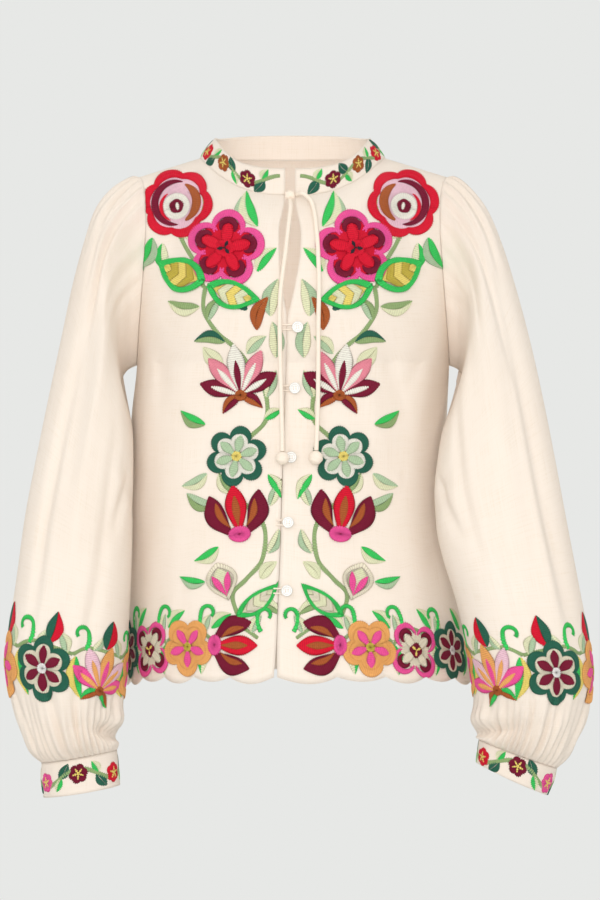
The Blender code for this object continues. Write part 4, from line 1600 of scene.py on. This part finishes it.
def fanFlower(work, put, size, colours, sepals=("rust", "maroon")):
    # five petals spread like a fan, with two sepals under them
    outer, second, middle = colours
    rows = []
    for turn in (-66, 66, -33, 33):
        colour, share = (outer, 0.86) if abs(turn) == 66 else (second, 1)
        rows.append((turn, 0, 0, share, 0.34, 0, 0.2, colour))
        rows.append((turn, 0, 0, share * 0.72, 0.12, 0, 0.8, middle))
    rows.append((0, 0, 0, 1.05, 0.36, 0, 0.5, middle))
    rows.append((0, 0, 0, 0.72, 0.14, 0, 1.0, outer))
    petals(work, put, size, rows)
    for sign in (-1, 1):
        own = turned(put, sign * 128)
        leaf(work, own, size * 0.52, size * 0.22, sign * size * 0.05, sepals, 0.4)
    disc(work, put, lobed(size * 0.13, squash=0.9), sepals[0], 1.2, 0.9)


def roundFlower(work, put, radius, count, rim, fill, mark, heart="yellow"):
    # a flat round flower: outlined petals and a stitched heart
    ringOf(work, put, lobed(radius * 0.80, count, 0.26), lobed(radius * 0.16), fill, 0.9)
    ringOf(work, put, lobed(radius, count, 0.30), lobed(radius * 0.74, count, 0.26), rim, 1.1, 0.35)
    for index in range(count):
        turn = 360 * (index + 0.5) / count - 90
        petals(work, put, radius, [(turn, 0, 0, 0.70, 0.29, 0, 0.7, mark, 1.5)])
    disc(work, put, lobed(radius * 0.17), heart, 1.3, 0.8)


def bellBud(work, put, size, rim, fill, core):
    # a closed bud: an outlined drop with a split coloured heart
    form = (size, size * 0.80, 0, 1.25)
    ringOf(work, put, outline(*form, 1.0), outline(*form, 0.74), rim, 1.0, 0.2)
    petals(work, put, size, [
        (0, 0, 0.13, 0.72, 0.52, 0, 0.2, fill, 1.2, 0.8),
        (20, 0, 0.12, 0.62, 0.17, 0, 0.8, core),
        (-20, 0, 0.12, 0.62, 0.17, 0, 0.8, core),
    ])


def starFlower(work, put, radius, colour):
    disc(work, put, lobed(radius, 6, 0.18), colour, 1.1, 0.2)
    points = [(72 * index, 0, 0, 1, 0.26, 0, 0.95, "yellow", 1.0, 0.5) for index in range(5)]
    petals(work, put, radius * 0.62, points)


# Stitching on the fronts

def frontSpot(side):
    tree = panels[side].tree

    def spot(x, z):
        for step in range(24):
            place = Vector((x - side * 0.001 * step, -1.0, z - 0.0002 * step))
            hit = tree.ray_cast(place, Vector((0, 1, 0)))
            if hit[0] is not None:
                return hit[0], hit[1]
        return tree.find_nearest(Vector((x, -0.09, z)))[:2]

    return spot


frontWork = {
    "centre": -3.0,
    "vine": [
        (86, -126), (88, -150), (76, -172), (58, -188), (44, -204), (26, -232),
        (24, -262), (40, -280), (62, -300), (66, -330), (44, -350), (26, -372),
        (28, -404), (44, -424), (58, -440), (52, -462),
    ],
    "branch": [(118, -62), (108, -84), (96, -104), (88, -128)],
    # how much fuller the leaves are sewn than the sizes below: length, width and bend
    "fuller": (1.22, 1.3, 1.3),
    # distance outwards, height, turn, length, width, bend, colours
    "leaves": [
        (98, -76, -42, 30, 12, 3, ("green", "lime")),
        (142, -74, -152, 30, 13, 4, ("green", "paleSage")),
        (132, -80, 168, 26, 11, -3, ("green", "lime")),
        (34, -66, -16, 33, 13, 4, ("green", "lime")),
        (52, -62, 8, 25, 11, 0, ("paleSage", "paleSage")),
        (88, -56, -8, 22, 10, 2, ("green", "lime")),
        (34, -112, 40, 26, 11, 3, ("green", "lime")),
        (92, -148, -78, 28, 11, 4, ("sage", "lime")),
        (84, -162, 30, 22, 9, 2, ("paleSage", "sage")),
        (66, -184, -88, 26, 10, -4, ("teal", "sage")),
        (44, -196, 48, 22, 10, 2, ("paleSage", "lime")),
        (24, -240, 20, 24, 9, 0, ("paleSage", "lime")),
        (26, -262, 62, 17, 8, 1, ("green", "lime")),
        (86, -268, -60, 24, 10, 3, ("green", "sage")),
        (84, -318, -116, 24, 10, 3, ("paleSage", "lime")),
        (22, -318, 150, 24, 9, 2, ("green", "lime")),
        (20, -350, 20, 20, 8, 0, ("lime", "paleSage")),
        (78, -352, -62, 25, 11, 3, ("paleSage", "sage")),
        (72, -392, -120, 24, 10, 3, ("green", "lime")),
        (22, -398, 24, 22, 9, -2, ("paleSage", "lime")),
        (34, -446, 118, 25, 9, 2, ("sage", "lime")),
        (86, -428, -78, 22, 9, 3, ("green", "paleSage")),
        (20, -158, 12, 32, 13, 3, ("lime", "paleSage")),
        (14, -200, -6, 30, 12, -2, ("paleSage", "lime")),
        (44, -152, -26, 26, 11, 3, ("teal", "teal")),
        (34, -172, 20, 30, 11, 4, ("rust", "rust")),
        (68, -206, -50, 22, 12, 2, ("lime", "lime")),
        (60, -338, -30, 20, 9, 2, ("sage", "lime")),
        (30, -424, 44, 20, 10, 2, ("lime", "lime")),
    ],
}


def stitchFront(side):
    work = Stitching(f"stitching_front_{sideWord[side]}", frontSpot(side))

    def at(x, z, turn=0.0):
        return placer(x, z, turn, 1.0, side, frontWork["centre"])

    stem(work, at(0, 0), frontWork["vine"], 4.4)
    stem(work, at(0, 0), frontWork["branch"], 4.2)
    for index, (x, z, turn, *sizes, colours) in enumerate(frontWork["leaves"]):
        work.level = 0.25 + 0.3 * (index % 2)
        sizes = [size * fuller for size, fuller in zip(sizes, frontWork["fuller"])]
        leaf(work, at(x, z, turn), *sizes, colours)
    work.level = 1.5
    edgedLeaf(work, at(86, -122, -66), 54, 36, 3, ("yellow", "olive"))
    edgedLeaf(work, at(84, -126, 106), 56, 29, -3, ("yellow", "lime"))
    work.level = 0.75
    cabbageRose(work, at(117, -38, -20), 38, ("red", "maroon", "pink", "cream", "maroon"))
    petalBloom(work, at(66, -88, 8), 40, ("hotPink", "maroon", "red", "red", "charcoal"))
    fanFlower(work, at(50, -238, -8), 50, ("maroon", "salmon", "cream"))
    roundFlower(work, at(54, -300, 12), 31, 6, "teal", "cream", "paleSage")
    tulip(work, at(50, -384, -8), 54, ("maroon", "red", "rust", "hotPink"))
    bellBud(work, at(62, -446, -18), 40, "beige", "lime", "hotPink")
    edgedLeaf(work, at(54, -462, 52), 54, 20, -2, ("lime", "beige"))
    return work.finish()


stitchPieces = {}
for side in (right, left):
    stitchPieces["front", side] = stitchFront(side)


# Stitching round the hem

hemWork = {
    "flowers": ["tulip", "round", "wheel", "teal", "bud"],
    "repeats": 4,
    "pitch": 52.0,
    "start": {front: 46.0, back: 54.0},
    "firstFlower": {front: 0, back: 4},
    "wave": 4,
    # how far the row falls towards the side seam, and where that is
    "fall": (13, 270),
    # level, distance along, height, turn, turn a repeat, length, width, bend, colours
    "leaves": [
        (0.3, 25, -474, 56, -8, 27, 13, 3, ("green", "lime")),
        (0.3, 26, -490, 196, -10, 32, 13, -3, ("green", "lime")),
        (0.55, -19, -478, 30, -9, 20, 10, 2, ("paleSage", "lime")),
    ],
}


def hemSpot(cloth, middleColumn):
    # s runs from the middle column along the hem
    lowerSteps = cut["lowerRows"] * cut["lowerSteps"]
    lengths = cloth.lengths(fixedRow=round(cut["lowerSteps"] * 0.75))

    def spot(s, z):
        column = lookUp(lengths, lengths[middleColumn] + s)
        across = abs(column - middleColumn) / fineColumns
        hem = hemHeight(min(across, 0.9999))
        rise = (z - hem) / (cut["underarmZ"] - hem)
        return cloth.spot(column, rise * lowerSteps)

    return spot


def hemFlower(work, kind, put):
    if kind == "tulip":
        tulip(work, turned(put, 90, (25, 2)), 50, ("maroon", "red", "rust", "hotPink"))
    elif kind == "round":
        roundFlower(work, put, 30, 5, "orange", "orange", "hotPink", "olive")
    elif kind == "wheel":
        petalBloom(work, put, 31, ("hotPink", "maroon", "beige", "maroon", "yellow"), 4)
    elif kind == "teal":
        roundFlower(work, put, 30, 6, "teal", "beige", "maroon", "white")
    elif kind == "bud":
        own = turned(put, -35, (-6, -16))
        fanFlower(work, own, 43, ("hotPink", "pink", "orange"), ("rust", "green"))


def stitchHem(work, mirror, face):
    drop, seam = hemWork["fall"]
    for index in range(hemWork["repeats"]):
        s = hemWork["start"][face] + index * hemWork["pitch"]
        fall = drop * min(s / seam, 1.0) ** 3
        lift = hemWork["wave"] * sin(1.9 * index + 0.6)

        def at(x, z, turn=0.0):
            return placer(x, z - fall, turn, 1.0, mirror)

        work.level = 0.0
        vine = [(s - 26, -486 + lift), (s - 10, -474), (s + 8, -476), (s + 26, -488)]
        stem(work, at(0, 0), vine, 3.6)
        for level, along, z, turn, twist, *sizes, colours in hemWork["leaves"]:
            work.level = level
            leaf(work, at(s + along, z, turn + twist * index), *sizes, colours)
        work.level = 0.8
        tip = (s - 24, -458) if index else (s - 33, -461)
        tendril(work, at(*tip, 12 * (index % 3) - 16), 8.5, 4.4)
        kinds = hemWork["flowers"]
        kind = kinds[(index + hemWork["firstFlower"][face]) % len(kinds)]
        hemFlower(work, kind, at(s, -494 + 0.4 * lift, 17 * index))


for side in (right, left):
    work = Stitching(f"stitching_hem_front_{sideWord[side]}", hemSpot(panels[side], 0))
    stitchHem(work, 1, front)
    stitchPieces["hem", side] = work.finish()
work = Stitching("stitching_hem_back", hemSpot(backPanel, fineColumns))
hemFlower(work, "round", placer(0, -494, 12))
for mirror in (-1, 1):
    stitchHem(work, mirror, back)
stitchPieces["hem", "back"] = work.finish()
print("body stitched")


# Stitching round the sleeves, cuffs and collar

def bandSpot(cloth, middleColumn, middleRow, upwards):
    across = cloth.lengths(fixedRow=middleRow)
    along = cloth.lengths(fixedColumn=middleColumn)
    whole = across[-1]

    def spot(s, t):
        column = lookUp(across, (across[middleColumn] + s) % whole)
        row = lookUp(along, along[middleRow] + upwards * t)
        return cloth.spot(column, row)

    return spot, whole * 1000


sleeveWork = {
    "middleRing": 12.0,
    "shift": -0.35,
    "kinds": ["teal", "bud", "round", "wheel", "tulip", "round"],
    "size": 1.08,
}


def stitchSleeve(side):
    cloth = sleeves[side]
    middleRow = round(sleeveWork["middleRing"] * sleeve["ringSteps"])
    spot, whole = bandSpot(cloth, sleeve["columns"] // 4, middleRow, -1)
    work = Stitching(f"stitching_sleeve_{sideWord[side]}", spot)
    pitch = whole / len(sleeveWork["kinds"])
    half = pitch / 2
    for index, kind in enumerate(sleeveWork["kinds"]):
        work.level = 0.0
        s = (index + sleeveWork["shift"]) * pitch
        stem(work, placer(0, 0), [(s - half, 16), (s - 14, 24), (s + 14, 20), (s + half, 16)], 4.0)
        work.level = 0.3
        leaf(work, placer(s + half - 6, 16, 26), 24, 12, 3, ("paleSage", "lime"))
        leaf(work, placer(s + half + 3, 14, 190), 44, 17, 4, ("green", "yellow"))
        tendril(work, placer(s + half + 8, 38, -10), 9, 4.6)
        leaf(work, placer(s - half + 22, 22, -34), 18, 9, 2, ("lime", "paleSage"))
        work.level = 0.75
        leaf(work, placer(s + 5, 24, -12), 33, 20, 2, ("teal", "red"))
        if kind == "tulip":
            tulip(work, placer(s, -28, 6), 56, ("hotPink", "pink", "orange", "rust"))
        else:
            hemFlower(work, kind, placer(s, -2, 20 * index, sleeveWork["size"]))
    return work.finish()


def vineBand(work, start, end, waves, swing, colours, radius):
    # a wavy vine with a star flower in each hollow and leaves between
    pitch = (end - start) / waves
    steps = 8
    points = []
    for index in range(steps * waves + 1):
        share = index / steps
        points.append((start + pitch * share, swing * cos(pi * share)))
    stem(work, placer(0, 0), points, 4.2)
    for index in range(waves):
        s = start + pitch * (index + 0.5)
        odd = index % 2
        height = swing * (0.35 if odd else -0.35)
        own = placer(s + 0.5 * pitch, height, 20 * index)
        starFlower(work, own, radius, colours[index % len(colours)])
        lower = placer(s - 1, 0, -38 if odd else -142)
        leaf(work, lower, radius * 1.8, radius * 1.2, 1.0, ("teal", "teal"))
        upper = placer(s + 2, 0, 150 if odd else 30)
        leaf(work, upper, radius * 1.5, radius, 1.0)


def stitchCuff(side):
    cloth = cuffs[side]
    spot, whole = bandSpot(cloth, cuff["columns"] // 4, cuff["rows"] // 2, -1)
    work = Stitching(f"stitching_cuff_{sideWord[side]}", spot)
    vineBand(work, 0, whole, 6, 7.5, ("red", "hotPink", "maroon"), 10.0)
    return work.finish()


def stitchCollar():
    across = collarBand.lengths(fixedRow=collar["rows"] // 2)
    along = collarBand.lengths(fixedColumn=0)

    def spot(s, t):
        return collarBand.spot(lookUp(across, s), lookUp(along, along[-1] / 2 + t))

    work = Stitching("stitching_collar", spot)
    whole = across[-1] * 1000
    for start in (5, whole - 5):
        vineBand(work, start, whole / 2, 7, 6.0, ("maroon", "rust", "red"), 9.8)
    return work.finish()


for side in (right, left):
    stitchPieces["sleeve", side] = stitchSleeve(side)
    stitchPieces["cuff", side] = stitchCuff(side)
stitchPieces["collar", 0] = stitchCollar()
print("bands stitched")


# Buttons and loops

fasten = {
    "places": [
        (0.0047, -0.169), (0.0018, -0.231), (-0.0020, -0.301), (-0.0050, -0.367), (-0.0062, -0.436),
    ],
    "holeOffset": 0.0013,
    "threadRadius": 0.00035,
    "threadDepth": 0.00055,
    "loopRadius": 0.0008,
    "loopBend": 0.0024,
    "loopTail": 0.0050,
    "loopClearance": 0.0006,
    "loopShares": (0.0, 0.35, 0.7),
    "loopSteps": 12,
    "loopFeels": (-0.012, 0.004),
}


def frontDepth(x, z):
    # where the cloth of the front lies behind a place
    start, inwards = Vector((x, -1, z)), Vector((0, 1, 0))
    hits = [panel.tree.ray_cast(start, inwards)[0] for panel in panels.values()]
    return min(hit.y for hit in hits if hit is not None)


for number, (x, z) in enumerate(fasten["places"], 1):
    for slot in frame["nodes"][f"button_{number}"].material_slots:
        slot.material = buttonShell
    low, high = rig.box(f"button_{number}")
    face = Vector(((low[0] + high[0]) / 2, low[1], (low[2] + high[2]) / 2))
    thread = bmesh.new()
    for offset in (-fasten["holeOffset"], fasten["holeOffset"]):
        made = bmesh.ops.create_cone(
            thread,
            cap_ends=True,
            segments=8,
            radius1=fasten["threadRadius"],
            radius2=fasten["threadRadius"],
            depth=2.6 * fasten["holeOffset"],
        )
        place = face + Vector((offset, fasten["threadDepth"], 0))
        bmesh.ops.translate(thread, verts=made["verts"], vec=place)
    finishPiece(meshPiece(f"button_thread_{number}", thread, tieCotton))
    slit = atHeight(frontSlit, z)
    start = slit.centreX - slit.halfGap - fasten["loopTail"]
    bend = fasten["loopBend"]
    shares = fasten["loopShares"]
    flat = [(start + (x - start) * share, bend) for share in shares]
    for step in range(fasten["loopSteps"] + 1):
        angle = pi / 2 - pi * step / fasten["loopSteps"]
        flat.append((x + bend * cos(angle), bend * sin(angle)))
    flat += [(start + (x - start) * share, -bend) for share in reversed(shares)]
    nearest = min(frontDepth(x + feel, z) for feel in fasten["loopFeels"])
    height = nearest - fasten["loopClearance"] - fasten["loopRadius"]
    points = [Vector((along, height, z + up)) for along, up in flat]
    loop = addTube(f"button_loop_{number}", points, fasten["loopRadius"], tieCotton)
    finishPiece(loop, f"loop_{number}")
print("buttons made")


# Cloth facts, floor and the end

sheets = {
    "front": {"flat": (0.26, 0.55), "area": 0.118},
    "back": {"flat": (0.50, 0.57), "area": 0.245},
    "sleeve": {"flat": (0.46, 0.62), "area": 0.235},
    "cuff": {right: {"flat": (0.24, 0.038)}, left: {"flat": (0.24, 0.030)}},
    "collar": {"flat": (0.46, 0.030)},
}
for side in (right, left):
    works = [stitchPieces["front", side], stitchPieces["hem", side]]
    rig.sheet(panels[side].obj, held="hung", with_pieces=works, **sheets["front"])
    works = [stitchPieces["sleeve", side]]
    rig.sheet(sleeves[side].obj, held="gathered", with_pieces=works, **sheets["sleeve"])
    works = [stitchPieces["cuff", side]]
    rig.sheet(cuffs[side].obj, held="folded", with_pieces=works, **sheets["cuff"][side])
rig.sheet(backPanel.obj, held="hung", with_pieces=[stitchPieces["hem", "back"]], **sheets["back"])
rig.sheet(collarBand.obj, held="folded", with_pieces=[stitchPieces["collar", 0]], **sheets["collar"])

floorMesh = bmesh.new()
bmesh.ops.create_grid(floorMesh, x_segments=1, y_segments=1, size=studio["floorSize"])
bmesh.ops.translate(floorMesh, verts=floorMesh.verts, vec=(0, 0, studio["floorHeight"]))
floorFinish = Finish("paleFloor", (222, 223, 221), 0.9)
floor = meshPiece("floor", floorMesh, floorFinish.material, flat=True)
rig.stage(floor)

world = bpy.data.worlds.new("studio")
world.use_nodes = True
background = world.node_tree.nodes["Background"]
background.inputs["Color"].default_value = linear(studio["backgroundColour"])
background.inputs["Strength"].default_value = 1.0
scene.world = world

with open("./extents.json", "w") as sizeFile:
    boxes = {"model": modelBox, "visual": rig.bounds()}
    plain = {key: [list(map(float, corner)) for corner in box] for key, box in boxes.items()}
    json.dump(plain, sizeFile)
print("written")
